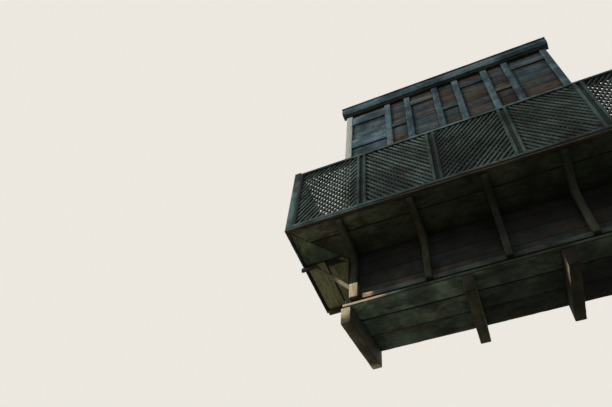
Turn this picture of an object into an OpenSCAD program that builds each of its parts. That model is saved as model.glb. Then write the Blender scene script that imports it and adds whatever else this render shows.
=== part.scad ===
// A projecting timber lattice balcony with a bench-like seat shelf all round,
// hung on a wall below a tall framed and boarded screen.
// X runs along the wall, -Y points to the street, +Z is up.
// The wall face is the plane y = 0, and the origin is on the back of the threshold.

/* [Balcony] */
// Number of lattice bays along the front
bay_count = 5; // [3:1:6]
// Distance from the middle of one post to the middle of the next
bay_pitch = 515; // [400:5:650]
// How far the front face of the lattice stands off the wall
balcony_depth = 760; // [700:5:1000]
// Height of the lattice between the top and the bottom rail
lattice_h = 672; // [450:2:900]
// Width of the square posts at the front corners
post_w = 50; // [40:1:70]
// How far a corner post stands above the top rail
post_rise = 14; // [0:1:40]
// Depth of the flat posts where the end rails meet the wall
wall_post_d = 36; // [24:1:60]

/* [Rails] */
// Height of the top rail
top_rail_h = 34; // [24:1:60]
// Height of the bottom rail
bottom_rail_h = 28; // [20:1:60]
// Depth of the top and bottom rails, front to back
rail_d = 56; // [46:1:80]
// Height of the moulding that covers the edge of the seat boards
moulding_h = 26; // [24:1:50]
// Open shadow line between that moulding and the bottom rail
moulding_gap = 2; // [1:0.5:6]
// Thickness of that moulding
moulding_d = 20; // [12:1:30]

/* [Lattice] */
// Width of one slat
slat_w = 17; // [10:1:22]
// Thickness of one slat
slat_t = 8; // [6:1:12]
// Distance between neighbouring slats, measured square to them
slat_pitch = 33; // [28:1:50]
// Angle between the slats and the level
slat_angle = 53; // [40:1:60]
// Depth to which crossing slats are let into each other
slat_lap = 2; // [1:0.5:3]
// Distance from the face of the stiles back to the first layer of slats
slat_setback = 8; // [4:1:14]
// Width of the stiles beside each lattice panel
stile_w = 22; // [16:1:34]
// Depth of those stiles
stile_d = 34; // [30:1:45]
// Width of the recessed post between two stiles
bay_post_w = 24; // [16:1:40]
// Depth of the recessed post
bay_post_d = 40; // [24:1:50]
// How far that post lies behind the face of the stiles
bay_post_setback = 12; // [6:1:20]

/* [Seat shelf] */
// Height of the top of the seat above the floor
seat_h = 500; // [400:2:580]
// Width of the shelf along the front, from the lattice face to the apron
seat_w_front = 360; // [300:5:420]
// Width of the shelf at each end
seat_w_end = 315; // [260:5:380]
// Thickness of the seat boards
seat_t = 22; // [16:1:35]
// Width of the open joint between seat boards
board_joint = 2; // [1:0.5:4]
// Width of the outer board of the front shelf, as a part of the shelf's width
front_board_part = 0.4; // [0.3:0.01:0.6]

/* [Apron] */
// Thickness of the apron boards below the seat
apron_t = 20; // [14:1:32]
// Height of one apron board
apron_board_h = 132; // [80:1:200]
// Width of the V groove where two boards meet
groove_w = 5; // [3:0.5:8]
// Height of the top of the edge rail above the floor
edge_rail_h = 62; // [40:1:90]
// Open gap between the edge rail and the floor
edge_rail_gap = 14; // [0:1:24]
// Distance from a corner block to the end of the front edge rail
edge_rail_end = 18; // [2:1:30]
// Thickness of the edge rail
edge_rail_t = 18; // [12:1:30]

/* [Knee brackets] */
// Number of knee brackets under the front shelf
knee_count = 5; // [3:1:7]
// Distance from the left end of the apron to the middle of the first bracket
knee_left = 56; // [40:1:120]
// Distance from the middle of the last bracket to the right end of the apron
knee_right = 37; // [34:1:120]
// Thickness of a knee bracket
knee_t = 42; // [30:1:60]
// Depth of the arm under the shelf
knee_arm = 38; // [28:1:60]
// Depth of the leg on the apron
knee_leg = 46; // [30:1:60]
// Radius of the hollow between arm and leg
knee_r = 130; // [80:5:180]
// Distance from the lattice face to the front end of the arm
knee_nose = 26; // [22:1:60]
// Width of the block at the foot of each outer knee bracket
block_w = 56; // [44:1:68]
// Height of that block
block_h = 128; // [80:1:150]
// Height of the block's underside above the floor
block_lift = 22; // [0:1:40]
// How far the block stands out from the apron
block_d = 46; // [44:1:60]
// Thickness of the diagonal brace under each end shelf
brace_t = 20; // [16:1:30]
// Depth of that brace, measured upright
brace_h = 38; // [30:1:60]
// Length of the level part of the brace under the shelf
brace_level = 62; // [40:1:110]
// How far the nose of the brace sticks out past the shelf
brace_nose = 14; // [0:1:30]
// Distance from the face of the apron to the brace
brace_gap = 20; // [8:1:24]
// Height of the cleats that carry the end shelves at the wall
cleat_h = 36; // [24:1:60]
// Thickness of those cleats
cleat_t = 28; // [18:1:45]

/* [Floor] */
// Thickness of the floor boards
floor_t = 28; // [20:1:40]
// Width of a full floor board
floor_board_w = 140; // [120:1:200]
// How far the floor boards project past the edge rail
floor_lip = 5; // [2:1:14]
// Width of a joist
joist_w = 63; // [45:1:90]
// Depth of a joist
joist_h = 138; // [90:1:200]
// Distance from each end of the apron to the middle of the outer joist
joist_inset = 23; // [10:1:80]
// Place of the left inner joist, as a part of the apron's length
joist_left_part = 0.37; // [0.2:0.01:0.45]
// Place of the right inner joist, as a part of the apron's length
joist_right_part = 0.65; // [0.55:0.01:0.8]
// How far the joist ends lie behind the edge of the floor
joist_setback = 5; // [0:1:30]
// Size of the chamfer under the end of a joist
joist_chamfer = 8; // [4:1:30]

/* [Wall screen] */
// Distance from the left end of the balcony to the left jamb
screen_left = 90; // [72:1:200]
// Distance from the right jamb to the right end of the balcony
screen_right = 292; // [72:1:400]
// Height from the seat to the underside of the header
screen_h = 3256; // [2700:2:3600]
// Width of the left column, measured in narrow columns
left_ratio = 1.98; // [1:0.01:2.4]
// Width of the two middle columns, measured in narrow columns
mid_ratio = 1.39; // [1:0.01:2]
// Width of the right column, measured in narrow columns
right_ratio = 1.8; // [1:0.01:2.4]
// Width of the jambs and mullions
mullion_w = 66; // [50:1:90]
// Depth of the jambs, mullions and sills
frame_d = 36; // [32:1:50]
// Height of the threshold at the floor
threshold_h = 120; // [90:2:160]
// Height of the sill that the screen stands on
sill_h = 90; // [60:2:130]
// Height of a cross rail
cross_rail_h = 110; // [60:1:130]
// How far a cross rail lies behind the face of the mullions
cross_rail_setback = 5; // [2:1:10]
// Distance from the header to the underside of the high cross rails
high_rail_drop = 266; // [230:2:400]
// Height of the deep upper rail in the wide left column
left_rail_h = 190; // [60:2:200]
// Distance from the header to the underside of the low cross rails
low_rail_drop = 656; // [540:2:800]
// Height of a low cross rail
low_rail_h = 70; // [40:1:110]
// Height of the lock rail's underside above the seat
lock_rail_z = 900; // [600:2:1000]
// Height of the head rail's underside above the seat
head_rail_z = 1360; // [1150:2:1500]
// Thickness of the planks between the mullions
plank_t = 16; // [12:1:20]
// Height of one plank
plank_h = 168; // [100:1:260]

/* [Header] */
// Height of the header
header_h = 120; // [80:1:200]
// How far the header stands out from the wall
header_d = 104; // [70:1:160]
// How far the header runs past each jamb
header_over = 42; // [10:1:90]
// Height of the strip under the header
strip_h = 26; // [16:1:50]
// How far that strip stands out from the wall
strip_d = 52; // [51:1:68]

/* [Hidden] */
balcony_len = bay_count * bay_pitch + post_w;
half_len = balcony_len / 2;
y_front = -balcony_depth;
z_floor = -threshold_h / 2;
z_seat = z_floor + seat_h;
z_shelf = z_seat - seat_t;
z_moulding = z_seat - moulding_gap - moulding_h;
z_slats = z_seat + bottom_rail_h;
z_top_rail = z_slats + lattice_h;
z_post_top = z_top_rail + top_rail_h + post_rise;
y_apron = y_front + seat_w_front;
x_apron = half_len - seat_w_end;
y_seat_edge = y_front + moulding_d;
x_seat_edge = half_len - moulding_d;
y_end_joint = y_apron - brace_gap - brace_t;
z_edge_top = z_floor + edge_rail_h;
z_block = z_floor + block_lift;
y_lip = y_apron - edge_rail_t - floor_lip;
x_lip = x_apron + edge_rail_t + floor_lip;
z_joist = z_floor - floor_t - joist_h;
joist_x = [-x_apron + joist_inset, (2 * joist_left_part - 1) * x_apron,
           (2 * joist_right_part - 1) * x_apron, x_apron - joist_inset];
z_sill_top = z_seat + sill_h;
z_header = z_seat + screen_h;
z_strip = z_header - strip_h;
col_parts = [left_ratio, 1, mid_ratio, 1, mid_ratio, 1, right_ratio];
x_screen = [-half_len + screen_left, half_len - screen_right];
narrow_col = (x_screen[1] - x_screen[0] - mullion_w) / sum_to(col_parts, len(col_parts));
upright_x = [for (n = [0:len(col_parts)])
               x_screen[0] + mullion_w / 2 + narrow_col * sum_to(col_parts, n)];
nose_part = 0.7;  // radius of the arm's rounded nose, as a part of the arm's depth
cut_over = 1;     // how far a cutting shape runs past what it cuts
pale_paint = [0.45, 0.54, 0.54];
green_paint = [0.31, 0.39, 0.36];
dark_wood = [0.24, 0.24, 0.20];
bare_wood = [0.42, 0.36, 0.29];

// Sum of the first n values of a list
function sum_to(values, n) = n == 0 ? 0 : values[n - 1] + sum_to(values, n - 1);

// Middle of post number i along the front, counted from the left corner
function post_x(i) = -half_len + post_w / 2 + i * bay_pitch;

// Inner edges of bay i between its two stiles, for i from 1
function bay_left(i) = post_x(i - 1) + (i == 1 ? post_w : bay_post_w) / 2 + stile_w;
function bay_right(i) = post_x(i) - (i == bay_count ? post_w : bay_post_w) / 2 - stile_w;

// Middle of knee bracket i, for i from 1
function knee_x(i) = -x_apron + knee_left
  + (i - 1) * (2 * x_apron - knee_left - knee_right) / (knee_count - 1);

// Repeats a shape on the left and, mirrored, on the right
module both_ends() {
  children();
  mirror([1, 0, 0]) children();
}

// A box given by its lowest and highest corner
module box(low, high) {
  translate(low) cube(high - low);
}

// Runs a section along the wall; the section's x points to the wall and its y points up
module along_x(x0, x1, y, z) {
  translate([x0, y, z]) rotate([90, 0, 90]) linear_extrude(x1 - x0) children();
}

// Runs a section out from the wall; the section's x points along the wall and its y points up
module along_y(y0, y1, x, z) {
  translate([x, y1, z]) rotate([90, 0, 0]) linear_extrude(y1 - y0) children();
}

// Section of boards laid edge to edge, with a V groove at each joint of the outer face
module grooved_section(height, thickness, board_h) {
  joints = [for (z = [board_h:board_h:height - board_h / 4]) z];
  polygon(concat(
    [[thickness, 0], [thickness, height], [0, height]],
    [for (k = [len(joints) - 1:-1:0]) each [
      [0, joints[k] + groove_w / 2], [groove_w / 2, joints[k]], [0, joints[k] - groove_w / 2]]],
    [[0, 0]]));
}

module corner_posts() {
  color(pale_paint) both_ends()
    box([-half_len, y_front, z_seat], [-half_len + post_w, y_front + post_w, z_post_top]);
}

module wall_posts() {
  color(pale_paint) both_ends()
    box([-half_len, -wall_post_d, z_seat], [-half_len + post_w, 0, z_top_rail + top_rail_h]);
}

module bay_posts() {
  y0 = y_front + bay_post_setback;
  color(dark_wood) for (x = [for (i = [1:bay_count - 1]) post_x(i)])
    box([x - bay_post_w / 2, y0, z_slats], [x + bay_post_w / 2, y0 + bay_post_d, z_top_rail]);
}

module front_stiles() {
  color(pale_paint) for (i = [1:bay_count], x = [bay_left(i) - stile_w, bay_right(i)])
    box([x, y_front, z_slats], [x + stile_w, y_front + stile_d, z_top_rail]);
}

module end_stiles() {
  color(pale_paint) both_ends() for (y = [y_front + post_w, -wall_post_d - stile_w])
    box([-half_len, y, z_slats], [-half_len + stile_d, y + stile_w, z_top_rail]);
}

// Section of the top rail, with its outer top edge rounded off
module top_rail_section() {
  round_r = top_rail_h / 3;
  difference() {
    square([rail_d, top_rail_h]);
    translate([0, top_rail_h - round_r]) difference() {
      translate([-cut_over, 0]) square(round_r + cut_over);
      translate([round_r, 0]) circle(r = round_r, $fn = 32);
    }
  }
}

module top_rail_front() {
  color(pale_paint) along_x(-half_len + post_w, half_len - post_w, y_front, z_top_rail) top_rail_section();
}

module top_rail_ends() {
  color(pale_paint) both_ends()
    along_y(y_front + post_w, -wall_post_d, -half_len, z_top_rail) top_rail_section();
}

module bottom_rail_front() {
  color(pale_paint)
    box([-half_len + post_w, y_front, z_seat], [half_len - post_w, y_front + rail_d, z_slats]);
}

module bottom_rail_ends() {
  color(pale_paint) both_ends()
    box([-half_len, y_front + post_w, z_seat], [-half_len + rail_d, -wall_post_d, z_slats]);
}

// Section of the moulding that covers the edge of the seat: a bead over a flat
module moulding_section() {
  bead_r = moulding_h / 4;
  square([moulding_d, moulding_h - 2 * bead_r]);
  translate([bead_r, moulding_h - 2 * bead_r]) square([moulding_d - bead_r, 2 * bead_r]);
  translate([bead_r, moulding_h - bead_r]) circle(r = bead_r, $fn = 32);
}

module base_moulding_front() {
  color(pale_paint) along_x(-half_len, half_len, y_front, z_moulding) moulding_section();
}

module base_moulding_ends() {
  color(pale_paint) both_ends()
    along_y(y_front + moulding_d, 0, -half_len, z_moulding) moulding_section();
}

// One layer of parallel slats, cut to an opening w wide and h high.
// lean is 1 where the tops lean to the right and -1 where they lean to the left.
module slat_layer(w, h, lean) {
  tilt = 90 - slat_angle;
  slat_len = w * sin(tilt) + h * cos(tilt) + slat_w;
  side = floor((w * cos(tilt) + h * sin(tilt) + slat_w) / 2 / slat_pitch);
  intersection() {
    translate([-w / 2, 0, -h / 2]) cube([w, slat_t, h]);
    union() for (k = [-side:side])
      rotate([0, lean * tilt, 0]) translate([k * slat_pitch - slat_w / 2, 0, -slat_len / 2])
        cube([slat_w, slat_t, slat_len]);
  }
}

// Two crossing layers let into each other, with the outer face in the plane y = 0
module lattice(w, h, lean) {
  union() {
    slat_layer(w, h, lean);
    translate([0, slat_t - slat_lap, 0]) slat_layer(w, h, -lean);
  }
}

// The outer slats lean to the right in one bay and to the left in the next
module lattice_bay(i) {
  w = bay_right(i) - bay_left(i);
  color(green_paint) translate([bay_left(i) + w / 2, y_front + slat_setback, z_slats + lattice_h / 2])
    lattice(w, lattice_h, i % 2 == 1 ? 1 : -1);
}

module lattice_end() {
  w = balcony_depth - post_w - wall_post_d - 2 * stile_w;
  y0 = y_front + post_w + stile_w;
  translate([-half_len + slat_setback, y0 + w / 2, z_slats + lattice_h / 2])
    rotate([0, 0, -90]) lattice(w, lattice_h, 1);
}

module lattice_left() {
  color(green_paint) lattice_end();
}

module lattice_right() {
  color(green_paint) mirror([1, 0, 0]) lattice_end();
}

// Plan of the front shelf: two long boards with mitred ends
module seat_front() {
  color(green_paint) translate([0, 0, z_shelf]) linear_extrude(seat_t) difference() {
    polygon([[-x_seat_edge, y_seat_edge], [x_seat_edge, y_seat_edge],
             [x_apron - apron_t, y_apron + apron_t], [-x_apron + apron_t, y_apron + apron_t]]);
    translate([-half_len, y_front + seat_w_front * front_board_part]) square([balcony_len, board_joint]);
  }
}

// Plan of an end shelf: a mitred board at the corner, then two boards that run to the wall
module seat_end() {
  mitre_gap = board_joint * 1.5;
  translate([0, 0, z_shelf]) linear_extrude(seat_t) difference() {
    polygon([[-x_seat_edge, y_seat_edge + mitre_gap], [-x_apron + apron_t, y_apron + apron_t + mitre_gap],
             [-x_apron + apron_t, 0], [-x_seat_edge, 0]]);
    translate([-half_len, y_end_joint]) square([balcony_len / 2, board_joint]);
    translate([-half_len + seat_w_end / 2, y_end_joint]) square([board_joint, -y_end_joint + cut_over]);
  }
}

module seat_left() {
  color(green_paint) seat_end();
}

module seat_right() {
  color(green_paint) mirror([1, 0, 0]) seat_end();
}

module apron_front() {
  color(green_paint) along_x(-x_apron, x_apron, y_apron, z_floor)
    grooved_section(z_shelf - z_floor, apron_t, apron_board_h);
}

module apron_ends() {
  color(green_paint) both_ends() along_y(y_apron + apron_t, 0, -x_apron, z_floor)
    grooved_section(z_shelf - z_floor, apron_t, apron_board_h);
}

// Edge rails just above the floor: one between the corner blocks and one at each end
module edge_rails() {
  from_knee = block_w / 2 + edge_rail_end;
  z_rail = z_floor + edge_rail_gap;
  color(bare_wood) {
    box([knee_x(1) + from_knee, y_apron - edge_rail_t, z_rail],
        [knee_x(knee_count) - from_knee, y_apron, z_edge_top]);
    both_ends() box([-x_apron - edge_rail_t, y_apron, z_rail], [-x_apron, 0, z_edge_top]);
  }
}

// Outline of a knee bracket, drawn from the inner corner between the shelf and the apron.
// The last foot_len of its leg is notched so that it passes in front of the edge rail.
module knee_outline(arm_len, leg_len, foot_len) {
  nose_r = knee_arm * nose_part;
  difference() {
    union() {
      translate([0, -knee_arm]) square([arm_len, knee_arm]);
      translate([0, foot_len - leg_len]) square([knee_leg, leg_len - foot_len]);
      translate([edge_rail_t, -leg_len]) square([knee_leg - edge_rail_t, leg_len]);
      translate([0, -knee_arm - knee_r]) difference() {
        square([knee_leg + knee_r, knee_r + cut_over]);
        translate([knee_leg + knee_r, 0]) circle(r = knee_r, $fn = 64);
      }
    }
    translate([arm_len - nose_r, -knee_arm]) difference() {
      translate([0, -cut_over]) square(nose_r + cut_over);
      translate([0, nose_r]) circle(r = nose_r, $fn = 48);
    }
  }
}

// The outer brackets stand on the corner blocks, the others run down over the edge rail
module knee_bracket(i) {
  on_block = i == 1 || i == knee_count;
  z_foot = on_block ? z_block + block_h : z_floor + edge_rail_gap;
  foot_len = on_block ? 0 : z_edge_top - z_foot;
  color(green_paint) along_x(knee_x(i) - knee_t / 2, knee_x(i) + knee_t / 2, y_apron, z_shelf)
    mirror([1, 0]) knee_outline(seat_w_front - knee_nose, z_shelf - z_foot, foot_len);
}

module corner_blocks() {
  color(bare_wood) for (x = [knee_x(1), knee_x(knee_count)])
    box([x - block_w / 2, y_apron - block_d, z_block], [x + block_w / 2, y_apron, z_block + block_h]);
}

// A brace that lies under the end shelf, notched over the moulding, and then runs down to the
// side of the corner block. run is the distance from the end of the balcony to the block.
module end_brace(run) {
  lift = z_shelf - z_moulding;
  foot_top = z_block + block_h - z_moulding;
  bend = moulding_d + brace_level;
  along_y(y_end_joint, y_end_joint + brace_t, -half_len, z_moulding)
    polygon([[-brace_nose, 0], [moulding_d, 0], [moulding_d, lift], [bend, lift],
             [run, foot_top], [run, foot_top - brace_h],
             [bend - brace_h / 2, lift - brace_h], [-brace_nose, lift - brace_h]]);
}

module end_braces() {
  color(green_paint) {
    end_brace(seat_w_end + knee_left - block_w / 2);
    mirror([1, 0, 0]) end_brace(seat_w_end + knee_right - block_w / 2);
  }
}

module wall_cleats() {
  color(bare_wood) both_ends()
    box([-half_len + moulding_d, -cleat_t, z_shelf - cleat_h], [-x_apron, 0, z_shelf]);
}

// Floor boards laid along the wall; the last one is ripped to fit
module floor_boards() {
  step = floor_board_w + board_joint;
  color(green_paint) for (y = [y_lip:step:-cut_over])
    box([-x_lip, y, z_floor - floor_t], [x_lip, min(y + floor_board_w, 0), z_floor]);
}

module joist(i) {
  x = joist_x[i - 1];
  y_end = y_lip + joist_setback;
  color(green_paint) along_x(x - joist_w / 2, x + joist_w / 2, y_end, z_joist)
    polygon([[joist_chamfer, 0], [-y_end, 0], [-y_end, joist_h], [0, joist_h], [0, joist_chamfer]]);
}

module threshold() {
  color(bare_wood)
    box([-x_apron + apron_t, -frame_d, z_floor], [x_apron - apron_t, 0, z_floor + threshold_h]);
}

module screen_sill() {
  color(pale_paint) box([x_screen[0], -frame_d, z_seat], [x_screen[1], 0, z_sill_top]);
}

// Upright number n of the screen, counted from the left jamb
module upright(n) {
  box([upright_x[n] - mullion_w / 2, -frame_d, z_sill_top], [upright_x[n] + mullion_w / 2, 0, z_strip]);
}

module jambs() {
  color(pale_paint) for (n = [0, len(col_parts)]) upright(n);
}

module mullions() {
  color(pale_paint) for (n = [1:len(col_parts) - 1]) upright(n);
}

// Edges of column c of the screen, from 0 at the left
function col_left(c) = upright_x[c] + mullion_w / 2;
function col_right(c) = upright_x[c + 1] - mullion_w / 2;

// A rail between the uprights of column c, with its underside at z
module cross_rail(c, z, rail_h) {
  box([col_left(c), -frame_d + cross_rail_setback, z], [col_right(c), -plank_t, z + rail_h]);
}

// Every column has a lock rail and a head rail; its upper rail is high in every other column,
// and deep in the first
module cross_rails() {
  color(pale_paint) for (c = [0:len(col_parts) - 1]) {
    cross_rail(c, z_seat + lock_rail_z, cross_rail_h);
    cross_rail(c, z_seat + head_rail_z, cross_rail_h);
    if (c % 2 == 0) cross_rail(c, z_header - high_rail_drop, c == 0 ? left_rail_h : cross_rail_h);
    else cross_rail(c, z_header - low_rail_drop, low_rail_h);
  }
}

// Planks fill each column of the screen, and the low back of the balcony under its sill
module planks() {
  color(bare_wood) {
    for (c = [0:len(col_parts) - 1])
      along_x(col_left(c), col_right(c), -plank_t, z_sill_top)
        grooved_section(z_strip - z_sill_top, plank_t, plank_h);
    along_x(-x_apron + apron_t, x_apron - apron_t, -plank_t, z_floor + threshold_h)
      grooved_section(seat_h - threshold_h, plank_t, plank_h);
  }
}

// Section of the header: a deep board with a sloped soffit and a small cap
module header_section() {
  cap = header_h / 6;
  polygon([[header_d, 0], [header_d, header_h], [0, header_h], [0, header_h - cap],
           [cap / 2, header_h - cap], [cap / 2, header_h / 3], [header_d / 3, 0]]);
}

module header() {
  color(pale_paint) along_x(x_screen[0] - header_over, x_screen[1] + header_over, -header_d, z_header)
    header_section();
}

module header_strip() {
  color(bare_wood) box([x_screen[0], -strip_d, z_strip], [x_screen[1], 0, z_header]);
}

corner_posts();
wall_posts();
bay_posts();
front_stiles();
end_stiles();
top_rail_front();
top_rail_ends();
bottom_rail_front();
bottom_rail_ends();
base_moulding_front();
base_moulding_ends();
for (i = [1:bay_count]) lattice_bay(i);
lattice_left();
lattice_right();
seat_front();
seat_left();
seat_right();
apron_front();
apron_ends();
edge_rails();
for (i = [1:knee_count]) knee_bracket(i);
corner_blocks();
end_braces();
wall_cleats();
floor_boards();
for (i = [1:len(joist_x)]) joist(i);
threshold();
screen_sill();
jambs();
mullions();
cross_rails();
planks();
header();
header_strip();
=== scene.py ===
"""Looks of a projecting timber lattice balcony with a tall boarded screen above its seat.

Every timber is modelled again over the fixed frame, with worn edges, and painted with
weathered finishes, into which sunlight and shade are also painted in places. Lengths are in
metres, in the frame of the part: X runs along the wall, -Y points to the street and +Z is up.
"""
import logging
import math
import random
from collections.abc import Callable, Sequence
from dataclasses import dataclass, field, replace
from enum import Enum
from functools import partial
from typing import Any, Union

import bmesh
import bpy
from mathutils import Matrix, Vector, noise


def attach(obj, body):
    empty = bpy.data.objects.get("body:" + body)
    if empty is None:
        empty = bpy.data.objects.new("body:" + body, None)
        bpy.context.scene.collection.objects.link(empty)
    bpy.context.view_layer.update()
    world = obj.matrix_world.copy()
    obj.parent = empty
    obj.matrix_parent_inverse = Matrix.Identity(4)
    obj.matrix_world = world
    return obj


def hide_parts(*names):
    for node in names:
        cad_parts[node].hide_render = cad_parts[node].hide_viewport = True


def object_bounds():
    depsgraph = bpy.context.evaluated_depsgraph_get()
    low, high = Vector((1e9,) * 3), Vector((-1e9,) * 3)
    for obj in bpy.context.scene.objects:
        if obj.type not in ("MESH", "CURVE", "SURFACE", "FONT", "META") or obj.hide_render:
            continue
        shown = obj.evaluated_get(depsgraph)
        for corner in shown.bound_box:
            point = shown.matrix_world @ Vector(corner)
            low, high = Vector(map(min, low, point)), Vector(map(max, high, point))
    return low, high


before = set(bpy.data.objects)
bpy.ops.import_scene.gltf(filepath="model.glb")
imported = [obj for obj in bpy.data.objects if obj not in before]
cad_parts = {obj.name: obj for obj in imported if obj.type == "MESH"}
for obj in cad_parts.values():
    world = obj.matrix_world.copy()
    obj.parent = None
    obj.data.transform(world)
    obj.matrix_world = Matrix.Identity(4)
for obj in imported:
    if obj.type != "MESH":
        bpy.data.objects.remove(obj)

CAD_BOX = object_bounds()
BODY = "root"
SMOOTH_ANGLE = math.radians(40)
SHARP_ANGLE = math.radians(25)
NEAR = 0.001
SKIN = 0.0045

Triple = tuple[float, float, float]
Run = tuple[float, float]
Spot = Callable[[Vector], float]
Shift = Callable[[Vector], Vector]
Rounding = Callable[[bmesh.types.BMEdge], float]

log = logging.getLogger("balcony")


def srgb(red: int, green: int, blue: int) -> Triple:
    """Turns a colour read from 0 to 255 into the linear values that a shader takes."""
    def linear(level: int) -> float:
        """Takes one channel from its display level to linear light."""
        part = level / 255
        return part / 12.92 if part <= 0.04045 else ((part + 0.055) / 1.055) ** 2.4
    return linear(red), linear(green), linear(blue)


def ease(value: float, start: float, end: float) -> float:
    """Rises smoothly from 0 at start to 1 at end, and falls if end is the lower one."""
    part = min(max((value - start) / (end - start), 0.0), 1.0)
    return part * part * (3 - 2 * part)


def on_face(value: float, face: float, depth: float = SKIN) -> float:
    """Gives 1 on a face and 0 from a depth behind it; the depth is below 0 for a face of high values."""
    return ease(value, face + depth, face + math.copysign(NEAR, depth))


@dataclass(frozen=True)
class Reading:
    """An output socket of a shader that can be used in sums with numbers and other readings."""

    shader: "Shader"
    socket: bpy.types.NodeSocket

    def _sum(self, operation: str, first: "Number", second: "Number") -> "Reading":
        """Adds the Math node for one operation."""
        return self.shader.node("ShaderNodeMath", {"operation": operation}, {0: first, 1: second})

    def __add__(self, other: "Number") -> "Reading":
        """Sum."""
        return self._sum("ADD", self, other)

    __radd__ = __add__

    def __sub__(self, other: "Number") -> "Reading":
        """Difference."""
        return self._sum("SUBTRACT", self, other)

    def __rsub__(self, other: "Number") -> "Reading":
        """Difference from a number."""
        return self._sum("SUBTRACT", other, self)

    def __mul__(self, other: "Number") -> "Reading":
        """Product."""
        return self._sum("MULTIPLY", self, other)

    __rmul__ = __mul__

    def lesser(self, other: "Number") -> "Reading":
        """The lower of two values."""
        return self._sum("MINIMUM", self, other)

    def step(self, start: float, end: float) -> "Reading":
        """Rises smoothly from 0 where the reading is at start to 1 where it is at end."""
        settings = {"interpolation_type": "SMOOTHSTEP"}
        return self.shader.node("ShaderNodeMapRange", settings, {0: self, 1: start, 2: end})


Number = Union[float, Reading]
Colour = Union[Triple, Reading]


class Shader:
    """The nodes of a material, or of the world, under construction."""

    def __init__(self, owner: bpy.types.Material | bpy.types.World) -> None:
        """Empties the nodes.

        Args:
            owner: The material or world.
        """
        self.owner = owner
        owner.use_nodes = True
        self.tree = owner.node_tree
        self.tree.nodes.clear()

    def node(self, kind: str, settings: dict[str, Any], values: dict[Any, Any], out: Any = 0) -> Reading:
        """Adds a node, sets it up and fills its sockets.

        Args:
            kind: The node's type.
            settings: Properties of the node, set before its sockets.
            values: For each input, by name or number, a value or a Reading to link.
            out: The output that is wanted, by name or number.

        Returns:
            The wanted output.
        """
        made = self.tree.nodes.new(kind)
        for key, value in settings.items():
            setattr(made, key, value)
        for key, value in values.items():
            if isinstance(value, Reading):
                self.tree.links.new(value.socket, made.inputs[key])
            elif isinstance(value, tuple) and len(made.inputs[key].default_value) == 4:
                made.inputs[key].default_value = (*value, 1.0)
            else:
                made.inputs[key].default_value = value
        return Reading(self, made.outputs[out]) if made.outputs else Reading(self, None)

    def mottle(self, place: Reading, waves: Triple, detail: float = 4.0, rough: float = 0.55) -> Reading:
        """Reads a noise that is stretched along the axes of a position.

        Args:
            place: The position.
            waves: Waves per metre along each axis.
            detail: Number of finer layers.
            rough: How strong the finer layers are.

        Returns:
            A value about 0.5.
        """
        spread = self.node("ShaderNodeVectorMath", {"operation": "MULTIPLY"}, {0: place, 1: waves})
        values = {"Vector": spread, "Scale": 1.0, "Detail": detail, "Roughness": rough}
        return self.node("ShaderNodeTexNoise", {}, values)

    def blend(self, part: Number, first: Colour, second: Colour) -> Reading:
        """Mixes two colours.

        Args:
            part: The share of the second colour.
            first: The first colour.
            second: The second colour.

        Returns:
            The mixed colour.
        """
        settings = {"data_type": "RGBA", "clamp_factor": True}
        return self.node("ShaderNodeMix", settings, {0: part, 6: first, 7: second}, 2)

    def shade(self, colour: Colour, level: Number) -> Reading:
        """Multiplies a colour by a level."""
        return self.node("ShaderNodeVectorMath", {"operation": "SCALE"}, {0: colour, "Scale": level})


STREAKS = ((1.3, 17.0, 17.0), 5.0, 0.6)
FIBRES = ((7.0, 150.0, 150.0), 3.0, 0.6)
FLECKS = ((14.0, 55.0, 55.0), 5.0, 0.66)
PATCHES = ((3.3, 3.3, 3.3), 6.0, 0.62)
RUNS = ((26.0, 26.0, 1.6), 4.0, 0.6)
STAINS = ((5.0, 11.0, 11.0), 6.0, 0.6)
# Colours of painted light: sunlit wood, sunlit pale paint, the sunlit pink end of the edge rail, and olive
# wood lit by light thrown up from a sunlit wall.
SUNLIT_WOOD = (srgb(150, 134, 104), srgb(196, 183, 152))
SUNLIT_PALE_PAINT = (srgb(142, 146, 136), srgb(184, 188, 178))
SUNLIT_PINK_WOOD = (srgb(150, 118, 92), srgb(206, 176, 146))
BOUNCE_LIT_OLIVE_WOOD = (srgb(128, 128, 84), srgb(176, 172, 128))


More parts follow.
